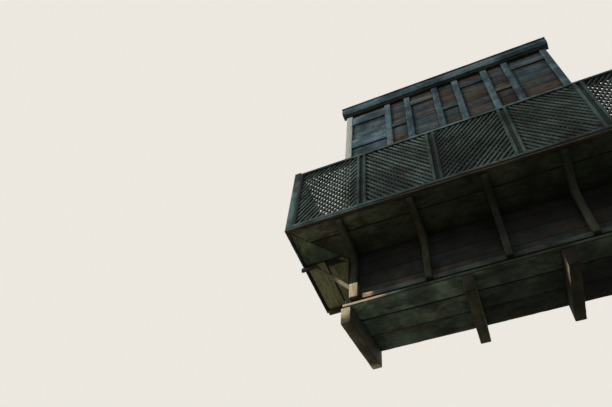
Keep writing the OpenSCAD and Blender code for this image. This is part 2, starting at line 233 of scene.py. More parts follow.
@dataclass(frozen=True)
class WornPaint:
    """Old paint on sawn wood: a chalked coat that has flaked off along the grain.

    Attributes:
        name: Name of the material.
        coat: The paint where it is sound.
        chalk: The paint where sun and rain have bleached it.
        wood: Bare wood in its darker fibres.
        fibre: Bare wood in its paler fibres.
        grime_and_shade: Dark soiling on the arrises and in joints, and painted shade in inner corners.
        stain: Dark stains.
        painted_light: Colours of painted sunlight on wood or paint, in its darker and paler fibres.
        holds: How well the paint holds, near 0.5; higher leaves less wood bare.
        chalked: Level of the mottle from which the coat is bleached, near 0.5.
        soiled: Share of dark soiling on the arrises.
        stained: Share of dark brown stains.
        depth: Height of the grain and of the flaked edges, in metres.
        dull: Roughness of the surface.
    """

    name: str
    coat: Triple
    chalk: Triple
    wood: Triple
    fibre: Triple
    grime_and_shade: Triple = srgb(20, 18, 14)
    stain: Triple = srgb(34, 27, 18)
    painted_light: tuple[Triple, Triple] = SUNLIT_WOOD
    holds: float = 0.55
    chalked: float = 0.5
    soiled: float = 0.0
    stained: float = 0.45
    depth: float = 0.0015
    dull: float = 0.82

    def make(self) -> bpy.types.Material:
        """Builds the material.

        Returns:
            The finished material.
        """
        shader = Shader(bpy.data.materials.new(self.name))
        grain = shader.node("ShaderNodeAttribute", {"attribute_name": "grain"}, {}, "Vector")
        wear = shader.node("ShaderNodeAttribute", {"attribute_name": "wear"}, {}, "Vector")
        place = shader.node("ShaderNodeTexCoord", {}, {}, "Object")
        board, worn, sun_and_shade = (
            shader.node("ShaderNodeSeparateXYZ", {}, {0: wear}, axis) for axis in ("X", "Y", "Z"))
        streaks, fibres, flecks = (shader.mottle(grain, *kind) for kind in (STREAKS, FIBRES, FLECKS))
        patches, runs = (shader.mottle(place, *kind) for kind in (PATCHES, RUNS))
        stains = shader.mottle(grain, *STAINS)
        arris = shader.node("ShaderNodeAttribute", {"attribute_name": "arris"}, {}, "Fac")

        loss = streaks * 0.36 + patches * 0.22 + flecks * 0.30 + fibres * 0.12
        loss = loss + worn + arris * 0.06
        bare = loss.step(self.holds - 0.012, self.holds + 0.02)
        bleach = (streaks * 0.3 + flecks * 0.3 + patches * 0.3 + runs * 0.1).step(
            self.chalked - 0.07, self.chalked + 0.09)
        coat = shader.blend(bleach, self.coat, self.chalk)
        coat = shader.shade(coat, 0.72 + fibres * 0.34 + streaks * 0.22)
        timber = shader.blend((fibres * 0.6 + streaks * 0.4).step(0.4, 0.62), self.wood, self.fibre)
        timber = shader.shade(timber, 0.7 + runs * 0.6)
        # The board value holds each timber's random tone plus its set tone, which on many timbers is painted
        # light or shade.
        skin = shader.shade(shader.blend(bare, coat, timber), 0.8 + board * 0.4)
        skin = shader.blend(stains.step(0.5, 0.66) * self.stained, skin, self.stain)
        # Painted shade: where the per-point value of sunlight and shade is below 0, the colour is darkened.
        skin = shader.shade(skin, (0.5 + patches.step(0.36, 0.62) * 0.85) * (1.0 + sun_and_shade.lesser(0.0)))
        # Painted sunlight: where that value is above 0, the colour turns toward the sunlit colours.
        painted_light = shader.blend(fibres.step(0.3, 0.7), *self.painted_light)
        skin = shader.blend((sun_and_shade + (flecks - 0.5) * 1.2 * sun_and_shade).step(0.12, 0.75), skin, painted_light)
        # Soiling on the arrises, and painted shade in inner corners and joints, found by occlusion.
        dirt_and_shade = self._corner_dirt_and_shade(shader) * flecks.step(0.1, 0.5) + arris.step(0.0, 0.4) * self.soiled
        skin = shader.blend(dirt_and_shade, skin, self.grime_and_shade)

        height = fibres * 0.5 + flecks * 0.25 - bare * 0.35
        relief = {"Strength": 0.6, "Distance": self.depth, "Height": height}
        surface = shader.node("ShaderNodeBsdfPrincipled", {}, {
            "Base Color": skin,
            "Roughness": self.dull + bare * 0.08 - bleach * 0.05,
            "Normal": shader.node("ShaderNodeBump", {}, relief, "Normal"),
            "Specular IOR Level": 0.1,
        })
        shader.node("ShaderNodeOutputMaterial", {}, {"Surface": surface})
        return shader.owner

    @staticmethod
    def _corner_dirt_and_shade(shader: Shader) -> Reading:
        """Finds the inner corners and joints by occlusion, for soiling and for painted shade."""
        reach = shader.node("ShaderNodeAmbientOcclusion", {"samples": 4}, {"Distance": 0.05}, "AO")
        return (1.0 - reach).step(0.22, 0.75) * 0.92


class Finish(Enum):
    """The finishes of the balcony."""

    PARAPET = WornPaint("parapet_paint_worn", srgb(45, 64, 64), srgb(80, 99, 97),
                        srgb(46, 42, 33), srgb(76, 70, 56), holds=0.575)
    STILE = WornPaint("stile_paint_dark", srgb(36, 50, 49), srgb(57, 73, 72),
                      srgb(34, 33, 25), srgb(54, 51, 40), holds=0.57, soiled=0.6)
    LATTICE = WornPaint("lattice_paint_worn", srgb(48, 60, 56), srgb(75, 90, 84),
                        srgb(48, 46, 36), srgb(72, 72, 58), holds=0.585, soiled=0.5)
    SHADED = WornPaint("shaded_post_wood", srgb(34, 48, 42), srgb(46, 60, 52),
                       srgb(34, 35, 27), srgb(48, 48, 38), holds=0.56)
    SHELF = WornPaint("shelf_paint_stained", srgb(62, 70, 53), srgb(84, 92, 72),
                      srgb(43, 37, 25), srgb(68, 60, 42), holds=0.55, soiled=1.0, stained=0.75,
                      painted_light=BOUNCE_LIT_OLIVE_WOOD)
    CROOK = WornPaint("bracket_paint_dark", srgb(42, 48, 37), srgb(58, 64, 50),
                      srgb(36, 32, 22), srgb(54, 48, 34), holds=0.55, stained=0.7)
    APRON = WornPaint("apron_paint_streaked", srgb(26, 29, 27), srgb(43, 49, 46),
                      srgb(34, 26, 19), srgb(52, 39, 30), holds=0.54, soiled=1.0, stained=0.6)
    EDGE = WornPaint("edge_rail_paint_lost", srgb(44, 53, 50), srgb(62, 71, 66),
                     srgb(46, 38, 28), srgb(66, 56, 42), holds=0.55, soiled=1.0, painted_light=SUNLIT_PINK_WOOD)
    RAW = WornPaint("raw_weathered_wood", srgb(64, 66, 53), srgb(84, 84, 68),
                    srgb(58, 46, 32), srgb(92, 77, 56), holds=0.5)
    FLOOR = WornPaint("floor_paint_thin", srgb(64, 75, 64), srgb(88, 99, 85),
                      srgb(50, 45, 34), srgb(78, 71, 56), holds=0.545, soiled=1.0, stained=0.7)
    JOIST = WornPaint("joist_paint_faded", srgb(60, 61, 48), srgb(82, 82, 66),
                      srgb(54, 43, 30), srgb(80, 66, 47), holds=0.54, stained=0.6)
    SCREEN = WornPaint("screen_paint_chalky", srgb(48, 68, 75), srgb(78, 100, 107),
                       srgb(50, 43, 32), srgb(78, 68, 53), holds=0.575, painted_light=SUNLIT_PALE_PAINT)
    PLANK = WornPaint("plank_paint_peeled", srgb(48, 66, 73), srgb(76, 96, 103),
                      srgb(44, 36, 27), srgb(70, 59, 46), holds=0.52, soiled=1.0)


class Way(Enum):
    """The axis along which a timber's grain runs."""

    ALONG_WALL = 0
    OUTWARD = 1
    UPRIGHT = 2


@dataclass(frozen=True)
class Timber:
    """One sawn timber.

    Attributes:
        low: Its lowest corner.
        high: Its highest corner.
        way: The axis of its grain.
        arris: How far its edges are worn round.
        spacing: Distance between the cuts that let it bend.
        bow: How far it has bent out of line.
        nibble: How far its surface wanders.
        worn: Added loss of paint.
        tone: Added lightness, where 1 is about a step of two fifths; on many timbers it is set to paint light
            or shade.
        sun_and_shade: At each point, painted sunlight where above 0 and painted shade where below, from -1 to
            1.
        carve: How far each point has been shaped away.
    """

    low: Triple
    high: Triple
    way: Way
    arris: float = 0.003
    spacing: float = 0.07
    bow: float = 0.0008
    nibble: float = 0.0005
    worn: float = 0.0
    tone: float = 0.0
    sun_and_shade: Spot | None = None
    carve: Shift | None = None


class Workshop:
    """The bench: models single timbers and joins them into finished pieces."""

    def __init__(self, seed: int = 11) -> None:
        """Sets the bench up.

        Args:
            seed: Start of the row of small differences between timbers.
        """
        self.chance = random.Random(seed)
        noise.seed_set(seed)
        self.materials = {finish: finish.value.make() for finish in Finish}

    @staticmethod
    def clear() -> None:
        """Deselects everything."""
        bpy.ops.object.select_all(action="DESELECT")

    @staticmethod
    def pick(block: bpy.types.Object, wanted: Callable[[bmesh.types.BMEdge], bool]) -> None:
        """Selects edges of a mesh in edit mode.

        Args:
            block: The object, in edit mode.
            wanted: Says of an edge whether it is selected.
        """
        bpy.ops.mesh.select_mode(type="EDGE")
        bpy.ops.mesh.select_all(action="DESELECT")
        shape = bmesh.from_edit_mesh(block.data)
        for edge in shape.edges:
            if wanted(edge):
                edge.select_set(True)
        bmesh.update_edit_mesh(block.data)

    def saw(self, timber: Timber, rounding: Rounding | None = None) -> bpy.types.Object:
        """Models a straight timber.

        Args:
            timber: What is sawn.
            rounding: Gives the larger rounding of some edges.

        Returns:
            The timber's object, selected alone, with its grain, paint loss, tone and painted light written on
            it.
        """
        self.clear()
        low, high = Vector(timber.low), Vector(timber.high)
        bpy.ops.mesh.primitive_cube_add(size=1.0, location=(low + high) / 2)
        block = bpy.context.active_object
        block.scale = high - low
        bpy.ops.object.transform_apply(location=True, rotation=False, scale=True)
        bpy.ops.object.mode_set(mode="EDIT")
        cuts = int((high - low)[timber.way.value] / timber.spacing)
        if cuts:
            self.pick(block, lambda edge: self.runs_along(edge, timber.way))
            bpy.ops.mesh.subdivide(number_cuts=cuts)
        self.round_edges(block, rounding)
        self.round_arrises(block, timber.arris)
        bpy.ops.object.mode_set(mode="OBJECT")
        self.season(block, timber)
        return block

    @staticmethod
    def runs_along(edge: bmesh.types.BMEdge, way: Way) -> bool:
        """Says whether an edge runs along an axis."""
        run = edge.verts[1].co - edge.verts[0].co
        return abs(run[way.value]) > 0.99 * run.length

    def round_edges(self, block: bpy.types.Object, rounding: Rounding | None) -> None:
        """Rounds some edges of a block more than its arrises, in edit mode.

        Args:
            block: The object, in edit mode.
            rounding: Gives the width for an edge, or 0 where it stays.
        """
        if rounding is None:
            return
        shape = bmesh.from_edit_mesh(block.data)
        width = max(rounding(edge) for edge in shape.edges)
        if width:
            self.pick(block, lambda edge: rounding(edge) > 0)
            bpy.ops.mesh.bevel(offset=width, segments=5, affect="EDGES")

    def round_arrises(self, block: bpy.types.Object, arris: float) -> None:
        """Rounds and marks all sharp edges of a block in edit mode.

        Args:
            block: The object, in edit mode.
            arris: Width that is taken off.
        """
        self.pick(block, lambda edge: edge.is_manifold and edge.calc_face_angle() > SHARP_ANGLE)
        bpy.ops.mesh.bevel(offset=arris, segments=2, affect="EDGES")
        self.mark_arrises(block, arris)

    @staticmethod
    def mark_arrises(block: bpy.types.Object, arris: float) -> None:
        """Writes 1 on the middle of each rounding and 0 elsewhere, in edit mode.

        Args:
            block: The object, in edit mode.
            arris: Width of the roundings.
        """
        shape = bmesh.from_edit_mesh(block.data)
        layers = shape.verts.layers.float
        layer = layers.get("arris") or layers.new("arris")
        narrow = {face for face in shape.faces if min(e.calc_length() for e in face.edges) < 0.85 * arris}
        for vertex in shape.verts:
            vertex[layer] = float(all(face in narrow for face in vertex.link_faces))
        bmesh.update_edit_mesh(block.data)

    def season(self, block: bpy.types.Object, timber: Timber, lay: Shift | None = None) -> None:
        """Writes the grain, the paint loss, the tone and the painted light and shade on a timber, then bends
        it and roughens its surface.

        Args:
            block: The timber's object, in object mode.
            timber: Its values.
            lay: Gives the position in the grain at each point, where the timber isn't straight.
        """
        mesh = block.data
        away = Vector([self.chance.uniform(0, 40) for _ in range(3)])
        luck = self.chance.random()
        board, worn = luck + timber.tone, timber.worn + (luck - 0.5) * 0.05
        grain = mesh.attributes.new("grain", "FLOAT_VECTOR", "POINT")
        wear = mesh.attributes.new("wear", "FLOAT_VECTOR", "POINT")
        turn = timber.way.value
        for number, vertex in enumerate(mesh.vertices):
            spot = vertex.co.copy()
            local = lay(spot) if lay else Vector((spot[turn], spot[(turn + 1) % 3], spot[(turn + 2) % 3]))
            grain.data[number].vector = local + away
            # The per-point value: painted sunlight above 0 and painted shade below 0.
            sun_and_shade = timber.sun_and_shade(spot) if timber.sun_and_shade else 0.0
            wear.data[number].vector = (board, worn, sun_and_shade)
            bend = noise.noise_vector(Vector((local.x * 1.7, away.y, away.z))) * timber.bow
            rough = noise.noise_vector(spot * 34 + away) * timber.nibble
            vertex.co = spot + bend + rough + (timber.carve(spot) if timber.carve else Vector())

    def sweep(self, stations: Sequence[Sequence[Triple]], timber: Timber, lay: Shift | None = None,
              rounding: Rounding | None = None) -> bpy.types.Object:
        """Models a bent or tapered timber by extruding a four-cornered end through stations.

        Args:
            stations: For each station its four corners, in the same turn.
            timber: The timber's values; its corners are not used.
            lay: Gives the position in the grain at each point.
            rounding: Gives the larger rounding of some edges.

        Returns:
            The timber's object.
        """
        self.clear()
        bpy.ops.mesh.primitive_plane_add(size=1.0)
        block = bpy.context.active_object
        bpy.ops.object.mode_set(mode="EDIT")
        shape = bmesh.from_edit_mesh(block.data)
        loop = [corner.vert for corner in shape.faces[:][0].loops]
        for vertex, corner in zip(loop, stations[0]):
            vertex.co = corner
        bmesh.update_edit_mesh(block.data)
        for before, after in zip(stations, stations[1:]):
            bpy.ops.mesh.extrude_region_move()
            shape = bmesh.from_edit_mesh(block.data)
            for vertex in [v for v in shape.verts if v.select]:
                nearest = min(range(4), key=lambda n: (vertex.co - Vector(before[n])).length)
                vertex.co = after[nearest]
            bmesh.update_edit_mesh(block.data)
        bpy.ops.mesh.select_all(action="SELECT")
        bpy.ops.mesh.normals_make_consistent(inside=False)
        self.round_edges(block, rounding)
        self.round_arrises(block, timber.arris)
        bpy.ops.object.mode_set(mode="OBJECT")
        self.season(block, timber, lay)
        return block

    def cut_off(self, block: bpy.types.Object, point: Triple, outward: Triple, arris: float = 0.0) -> None:
        """Saws off what lies beyond a plane, closes the cut and rounds its edges.

        Args:
            block: The object, in object mode.
            point: A point of the plane.
            outward: Direction of the waste.
            arris: Width of the rounding, or 0 where the cut stays sharp.
        """
        self.clear()
        block.select_set(True)
        bpy.context.view_layer.objects.active = block
        bpy.ops.object.mode_set(mode="EDIT")
        bpy.ops.mesh.select_all(action="SELECT")
        bpy.ops.mesh.bisect(plane_co=point, plane_no=outward, use_fill=True, clear_outer=True)
        if arris:
            across, start = Vector(outward), Vector(point)
            self.pick(block, lambda edge: all(abs((v.co - start).dot(across)) < 1e-5 for v in edge.verts))
            bpy.ops.mesh.bevel(offset=arris, segments=2, affect="EDGES")
            self.mark_arrises(block, arris)
        bpy.ops.object.mode_set(mode="OBJECT")

    def join(self, blocks: Sequence[bpy.types.Object]) -> bpy.types.Object:
        """Joins timbers into one object.

        Args:
            blocks: The timbers.

        Returns:
            The joined object.
        """
        self.clear()
        for block in blocks:
            block.select_set(True)
        bpy.context.view_layer.objects.active = blocks[0]
        if len(blocks) > 1:
            bpy.ops.object.join()
        return blocks[0]

    def pair(self, timber: Timber, rounding: Rounding | None = None) -> list[bpy.types.Object]:
        """Models a timber of the left end and its mirror image at the right end."""
        return [self.saw(one, rounding) for one in at_both_ends(timber)]

    def hand_over(self, name: str, blocks: Sequence[bpy.types.Object], finish: Finish,
                  *nodes: str) -> None:
        """Finishes a piece, hangs it on the body and hides the frame's nodes that it stands for.

        Args:
            name: Name of the piece.
            blocks: Its timbers.
            finish: Its finish.
            nodes: The frame's nodes that it stands for.
        """
        piece = self.join(blocks)
        piece.name = piece.data.name = name
        piece.data.materials.clear()
        piece.data.materials.append(self.materials[finish])
        low, high = CAD_BOX
        for vertex in piece.data.vertices:
            vertex.co = [min(max(c, lo), hi) for c, lo, hi in zip(vertex.co, low, high)]
        bpy.ops.object.shade_smooth_by_angle(angle=SMOOTH_ANGLE)
        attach(piece, BODY)
        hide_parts(*nodes)
        log.info("%s: %d timbers, %d faces", name, len(blocks), len(piece.data.polygons))


@dataclass(frozen=True)
class Lines:
    """Main lines that the sub-assemblies share, as in the part's source."""

    bays: int = 5
    pitch: float = 0.515
    half: float = 1.3125
    front: float = -0.760
    post: float = 0.050
    wall_post: float = 0.036
    seat: float = 0.440
    shelf: float = 0.418
    slats: float = 0.468
    top: float = 1.140
    stile: float = 0.022
    stile_depth: float = 0.034
    bay_post: float = 0.024
    apron: float = -0.400
    apron_x: float = 0.9975
    floor: float = -0.060
    floor_under: float = -0.088
    lip: float = -0.423
    joint: float = 0.002
    knees: int = 5
    first_knee: float = -0.9415
    last_knee: float = 0.9605
    header: float = 3.696
    strip: float = 3.670

    def post_x(self, number: int) -> float:
        """Middle of a post of the front, counted from the left corner."""
        return -self.half + self.post / 2 + number * self.pitch

    def bay(self, number: int) -> tuple[float, float]:
        """Inner edges of a bay between its stiles, for bays from 1."""
        left = self.post if number == 1 else self.bay_post
        right = self.post if number == self.bays else self.bay_post
        return (self.post_x(number - 1) + left / 2 + self.stile,
                self.post_x(number) - right / 2 - self.stile)

    def knee_x(self, number: int) -> float:
        """Middle of a knee bracket, for brackets from 1."""
        return self.first_knee + (number - 1) * (self.last_knee - self.first_knee) / (self.knees - 1)


LINES = Lines()


def lies_at(edge: bmesh.types.BMEdge, y: float, z: float) -> bool:
    """Says whether an edge lies along the wall at a depth and a level."""
    return all(abs(v.co.y - y) < NEAR and abs(v.co.z - z) < NEAR for v in edge.verts)


def at_both_ends(timber: Timber) -> list[Timber]:
    """Gives a timber of the left end and its mirror image at the right end."""
    low, high = timber.low, timber.high
    return [timber, replace(timber, low=(-high[0], low[1], low[2]), high=(-low[0], high[1], high[2]))]


@dataclass
class Parapet:
    """Posts, stiles, rails and mouldings that frame the lattice."""

    rise: float = 0.014
    top_high: float = 0.034
    rail_deep: float = 0.056
    rail_round: float = 0.011
    moulding_high: float = 0.026
    moulding_gap: float = 0.002
    moulding_deep: float = 0.020
    moulding_arris: float = 0.0015
    bay_post_deep: float = 0.040
    bay_post_back: float = 0.012
    top_tone: float = 0.1
    low_tone: float = -0.5
    flat_tone: float = -1.1
    flat_worn: float = 0.35
    # Painted shade on the bead, the front bottom rail, the rails' undersides and the stile by the left
    # corner; painted sunlight on the left corner post.
    bead_shade: float = 1.5
    bead_run: Run = (-0.95, -0.45)
    low_shade: float = 0.35
    low_run: Run = (-0.80, -0.20)
    under_shade: float = 0.9
    stile_shade: float = 0.65
    post_sun: float = 0.3

    def build(self, shop: Workshop) -> None:
        """Builds the frame of the parapet.

        Args:
            shop: The bench.
        """
        self.posts(shop)
        self.stiles(shop)
        self.rails(shop)
        self.mouldings(shop)

    def posts(self, shop: Workshop) -> None:
        """Models the posts at the corners, at the wall and between the bays."""
        at, up = LINES, Way.UPRIGHT
        head, back = at.top + self.top_high, at.front + self.bay_post_back
        corner = Timber((-at.half, at.front, at.seat),
                        (-at.half + at.post, at.front + at.post, head + self.rise),
                        up, arris=0.004, sun_and_shade=self.sunlit_post)
        shop.hand_over("corner_posts_worn", shop.pair(corner), Finish.PARAPET, "corner_posts")
        wall = Timber((-at.half, -at.wall_post, at.seat), (-at.half + at.post, 0.0, head), up)
        shop.hand_over("wall_posts_worn", shop.pair(wall), Finish.PARAPET, "wall_posts")
        shop.hand_over("bay_posts_shaded", [
            shop.saw(Timber((at.post_x(n) - at.bay_post / 2, back, at.slats),
                            (at.post_x(n) + at.bay_post / 2, back + self.bay_post_deep, at.top), up))
            for n in range(1, at.bays)], Finish.SHADED, "bay_posts")

    def stiles(self, shop: Workshop) -> None:
        """Models the stiles beside the panels."""
        at, up, arris = LINES, Way.UPRIGHT, 0.0025
        stiles, ends = [], []
        for number in range(1, at.bays + 1):
            left, right = at.bay(number)
            stiles += [shop.saw(Timber(
                (x, at.front, at.slats), (x + at.stile, at.front + at.stile_depth, at.top), up,
                arris=arris, sun_and_shade=self.shaded_stile)) for x in (left - at.stile, right)]
        shop.hand_over("front_stiles_worn", stiles, Finish.STILE, "front_stiles")
        for y in (at.front + at.post, -at.wall_post - at.stile):
            ends += shop.pair(Timber(
                (-at.half, y, at.slats), (-at.half + at.stile_depth, y + at.stile, at.top), up, arris=arris))
        shop.hand_over("end_stiles_worn", ends, Finish.STILE, "end_stiles")

    def sunlit_post(self, spot: Vector) -> float:
        """Paints sunlight on the outer side of the left corner post."""
        return self.post_sun * ease(spot.x, 0.0035 - LINES.half, 0.0005 - LINES.half)

    def shaded_stile(self, spot: Vector) -> float:
        """Paints shade on the stile beside the left corner post."""
        return -self.stile_shade * (spot.x < -LINES.half + LINES.post + LINES.stile + NEAR)

    def shaded_rail(self, spot: Vector) -> float:
        """Paints shade on the underside of the top rails and along the foot of the bottom rails."""
        under = on_face(spot.z, LINES.top, 0.003) * (spot.z > (LINES.slats + LINES.top) / 2)
        return -self.under_shade * (on_face(spot.z, LINES.seat) + under)

    def shaded_low(self, spot: Vector) -> float:
        """Paints shade on the front bottom rail, deepening toward the right, as well as along its foot."""
        return self.shaded_rail(spot) - self.low_shade * ease(spot.x, *self.low_run)

    def shaded_bead(self, spot: Vector) -> float:
        """Paints shade on the bead of the front moulding, deepening toward the right."""
        return -self.bead_shade * ease(spot.x, *self.bead_run)

    def rails(self, shop: Workshop) -> None:
        """Models the top rails, rounded along their outer edge, and the bottom rails."""
        at, high, coat = LINES, LINES.top + self.top_high, Finish.PARAPET
        side, inner = -at.half + at.post, -at.half + self.rail_deep
        front, back = at.front + at.post, at.front + self.rail_deep
        top = Timber((side, at.front, at.top), (-side, back, high), Way.ALONG_WALL, bow=0.0012,
                     tone=self.top_tone, sun_and_shade=self.shaded_rail)
        shop.hand_over("top_rail_front_worn", [shop.saw(top, self.outer_top)], coat, "top_rail_front")
        end = Timber((-at.half, front, at.top), (inner, -at.wall_post, high), Way.OUTWARD, bow=0.0012,
                     sun_and_shade=self.shaded_rail)
        shop.hand_over("top_rail_ends_worn", shop.pair(end, self.outer_top), coat, "top_rail_ends")
        low = Timber((side, at.front, at.seat), (-side, back, at.slats), Way.ALONG_WALL, worn=-0.02,
                     tone=self.low_tone, sun_and_shade=self.shaded_low)
        shop.hand_over("bottom_rail_front_worn", [shop.saw(low)], coat, "bottom_rail_front")
        low_end = Timber((-at.half, front, at.seat), (inner, -at.wall_post, at.slats), Way.OUTWARD)
        shop.hand_over("bottom_rail_ends_worn", shop.pair(low_end), coat, "bottom_rail_ends")

    @staticmethod
    def outside(edge: bmesh.types.BMEdge) -> bool:
        """Says whether an edge is level and lies on an outer face of the parapet."""
        first, second = (vertex.co for vertex in edge.verts)
        middle = (first + second) / 2
        outer = middle.y < LINES.front + NEAR or abs(middle.x) > LINES.half - NEAR
        return outer and abs(first.z - second.z) < NEAR

    def outer_top(self, edge: bmesh.types.BMEdge) -> float:
        """Gives the rounding of a rail's outer top edge, and nothing for other edges."""
        level = (edge.verts[0].co.z + edge.verts[1].co.z) / 2
        upper = level > LINES.top + self.top_high - NEAR
        return self.rail_round if upper and self.outside(edge) else 0.0

    def outer_edge(self, nose: float, edge: bmesh.types.BMEdge) -> float:
        """Gives the rounding of a moulding's two outer edges, and nothing for other edges."""
        return nose if self.outside(edge) and edge.calc_face_angle() > SHARP_ANGLE else 0.0

    def mouldings(self, shop: Workshop) -> None:
        """Models the mouldings that cover the edges of the seat boards: a bead over a flat."""
        at, bead = LINES, self.moulding_high / 2
        top, inner = at.seat - self.moulding_gap, self.moulding_deep
        strips = {"front": [], "ends": []}
        for low, high, nose, tone, worn, sun_and_shade in (
                (top - self.moulding_high, top - bead, 0.0, self.flat_tone, self.flat_worn, None),
                (top - bead, top, bead * 0.45, 0.0, 0.0, self.shaded_bead)):
            rounding = partial(self.outer_edge, nose)
            front = Timber((-at.half, at.front, low), (at.half, at.front + inner, high), Way.ALONG_WALL,
                           arris=self.moulding_arris, tone=tone, worn=worn, sun_and_shade=sun_and_shade)
            end = Timber((-at.half, at.front + inner, low), (-at.half + inner, 0.0, high), Way.OUTWARD,
                         arris=self.moulding_arris, tone=tone)
            strips["front"].append(shop.saw(front, rounding))
            strips["ends"] += shop.pair(end, rounding)
        for side, made in strips.items():
            shop.hand_over(f"base_moulding_{side}_worn", made, Finish.PARAPET, f"base_moulding_{side}")


@dataclass
class LatticePanels:
    """Crossing layers of slats between the stiles."""

    wide: float = 0.017
    thick: float = 0.008
    pitch: float = 0.033
    lap: float = 0.002
    back: float = 0.008
    lean_angle: float = math.radians(37)
    arris: float = 0.0016
    tilt: float = math.radians(0.35)
    stray: float = 0.0009
    # Painted shade: the bays toward the right are darkened, and the inner layers, behind the outer ones, more
    # so; the first bay's inner layer a little less.
    painted_shades: tuple[float, ...] = (-0.12, 0.0, -0.42, -0.42, -0.42)
    inner_shade: float = -0.9
    first_inner_shade: float = -0.7
    chance: random.Random = field(default_factory=lambda: random.Random(29))

    def build(self, shop: Workshop) -> None:
        """Builds every panel.

        Args:
            shop: The bench.
        """
        at = LINES
        middle = (at.slats + at.top) / 2
        for number in range(1, at.bays + 1):
            left, right = at.bay(number)
            place = Matrix.Translation(((left + right) / 2, at.front + self.back, middle))
            # Painted shade for the outer and the inner layer of this bay.
            painted_shades = (self.painted_shades[number - 1], self.first_inner_shade if number == 1 else self.inner_shade)
            self.panel(shop, f"lattice_bay_{number}", right - left, place, 1 if number % 2 else -1, painted_shades)
        wide = -at.front - at.post - at.wall_post - 2 * at.stile
        y = at.front + at.post + at.stile + wide / 2
        turned = Matrix.Translation((-at.half + self.back, y, middle)) @ Matrix.Rotation(-math.pi / 2, 4, "Z")
        self.panel(shop, "lattice_left", wide, turned, 1, (0.0, self.inner_shade))
        across = Matrix.Translation((at.half - self.back, y, middle)) @ Matrix.Rotation(math.pi / 2, 4, "Z")
        self.panel(shop, "lattice_right", wide, across, -1, (0.0, self.inner_shade))

    def panel(self, shop: Workshop, node: str, wide: float, place: Matrix, lean: int,
              painted_shades: tuple[float, float]) -> None:
        """Models one panel and puts it in place.

        Args:
            shop: The bench.
            node: The frame's node that it stands for.
            wide: Width of the opening.
            place: Where the middle of the panel's outer face goes.
            lean: 1 where the tops of the outer slats lean to the right, else -1.
            painted_shades: How dark the painted shade makes the outer and the inner layer, down to -1.
        """
        outer = self.layer(shop, wide, 0.0, lean, painted_shades[0])
        inner = self.layer(shop, wide, self.thick - self.lap, -lean, painted_shades[1])
        panel = shop.join([outer, inner])
        panel.data.transform(place)
        shop.hand_over(f"{node}_slats", [panel], Finish.LATTICE, node)

    def layer(self, shop: Workshop, wide: float, depth: float, lean: int, painted_shade: float) -> bpy.types.Object:
        """Models one layer: a slat is shaped once, copied, and the copies are cut to the opening.

        Args:
            shop: The bench.
            wide: Width of the opening.
            depth: How far the layer lies behind the panel's outer face.
            lean: 1 where the tops of the slats lean to the right, else -1.
            painted_shade: How dark the painted shade makes the layer, down to -1.

        Returns:
            The layer, about the middle of the opening.
        """
        high = LINES.top - LINES.slats
        across, along = math.cos(self.lean_angle), math.sin(self.lean_angle)
        length = wide * along + high * across + self.wide
        half = self.wide / 2
        pattern = shop.saw(Timber((-half, 0.0, -length / 2), (half, self.thick, length / 2), Way.UPRIGHT,
                                  arris=self.arris, spacing=length / 3.5, bow=0.0008, nibble=0.0003))
        count = int((wide * across + high * along + self.wide) / 2 / self.pitch)
        slats = []
        for number in range(-count, count + 1):
            slat = pattern.copy()
            slat.data = pattern.data.copy()
            bpy.context.collection.objects.link(slat)
            self.vary(slat.data, painted_shade)
            slat.data.transform(
                Matrix.Rotation(lean * self.lean_angle + self.chance.gauss(0, self.tilt), 4, "Y")
                @ Matrix.Translation((number * self.pitch + self.chance.gauss(0, self.stray), depth, 0.0)))
            slats.append(slat)
        bpy.data.objects.remove(pattern, do_unlink=True)
        layer = shop.join(slats)
        for x in (-1, 1):
            shop.cut_off(layer, (x * wide / 2, 0.0, 0.0), (x, 0.0, 0.0))
        for z in (-1, 1):
            shop.cut_off(layer, (0.0, 0.0, z * high / 2), (0.0, 0.0, z))
        return layer

    def vary(self, mesh: bpy.types.Mesh, painted_shade: float) -> None:
        """Gives a copied slat its own piece of grain, tone and paint loss, and the layer's painted shade."""
        away = Vector([self.chance.uniform(0, 40) for _ in range(3)])
        tone, worn = self.chance.random(), self.chance.gauss(0, 0.012)
        for grain, wear in zip(mesh.attributes["grain"].data, mesh.attributes["wear"].data):
            grain.vector = grain.vector + away
            wear.vector = (tone, worn, painted_shade)


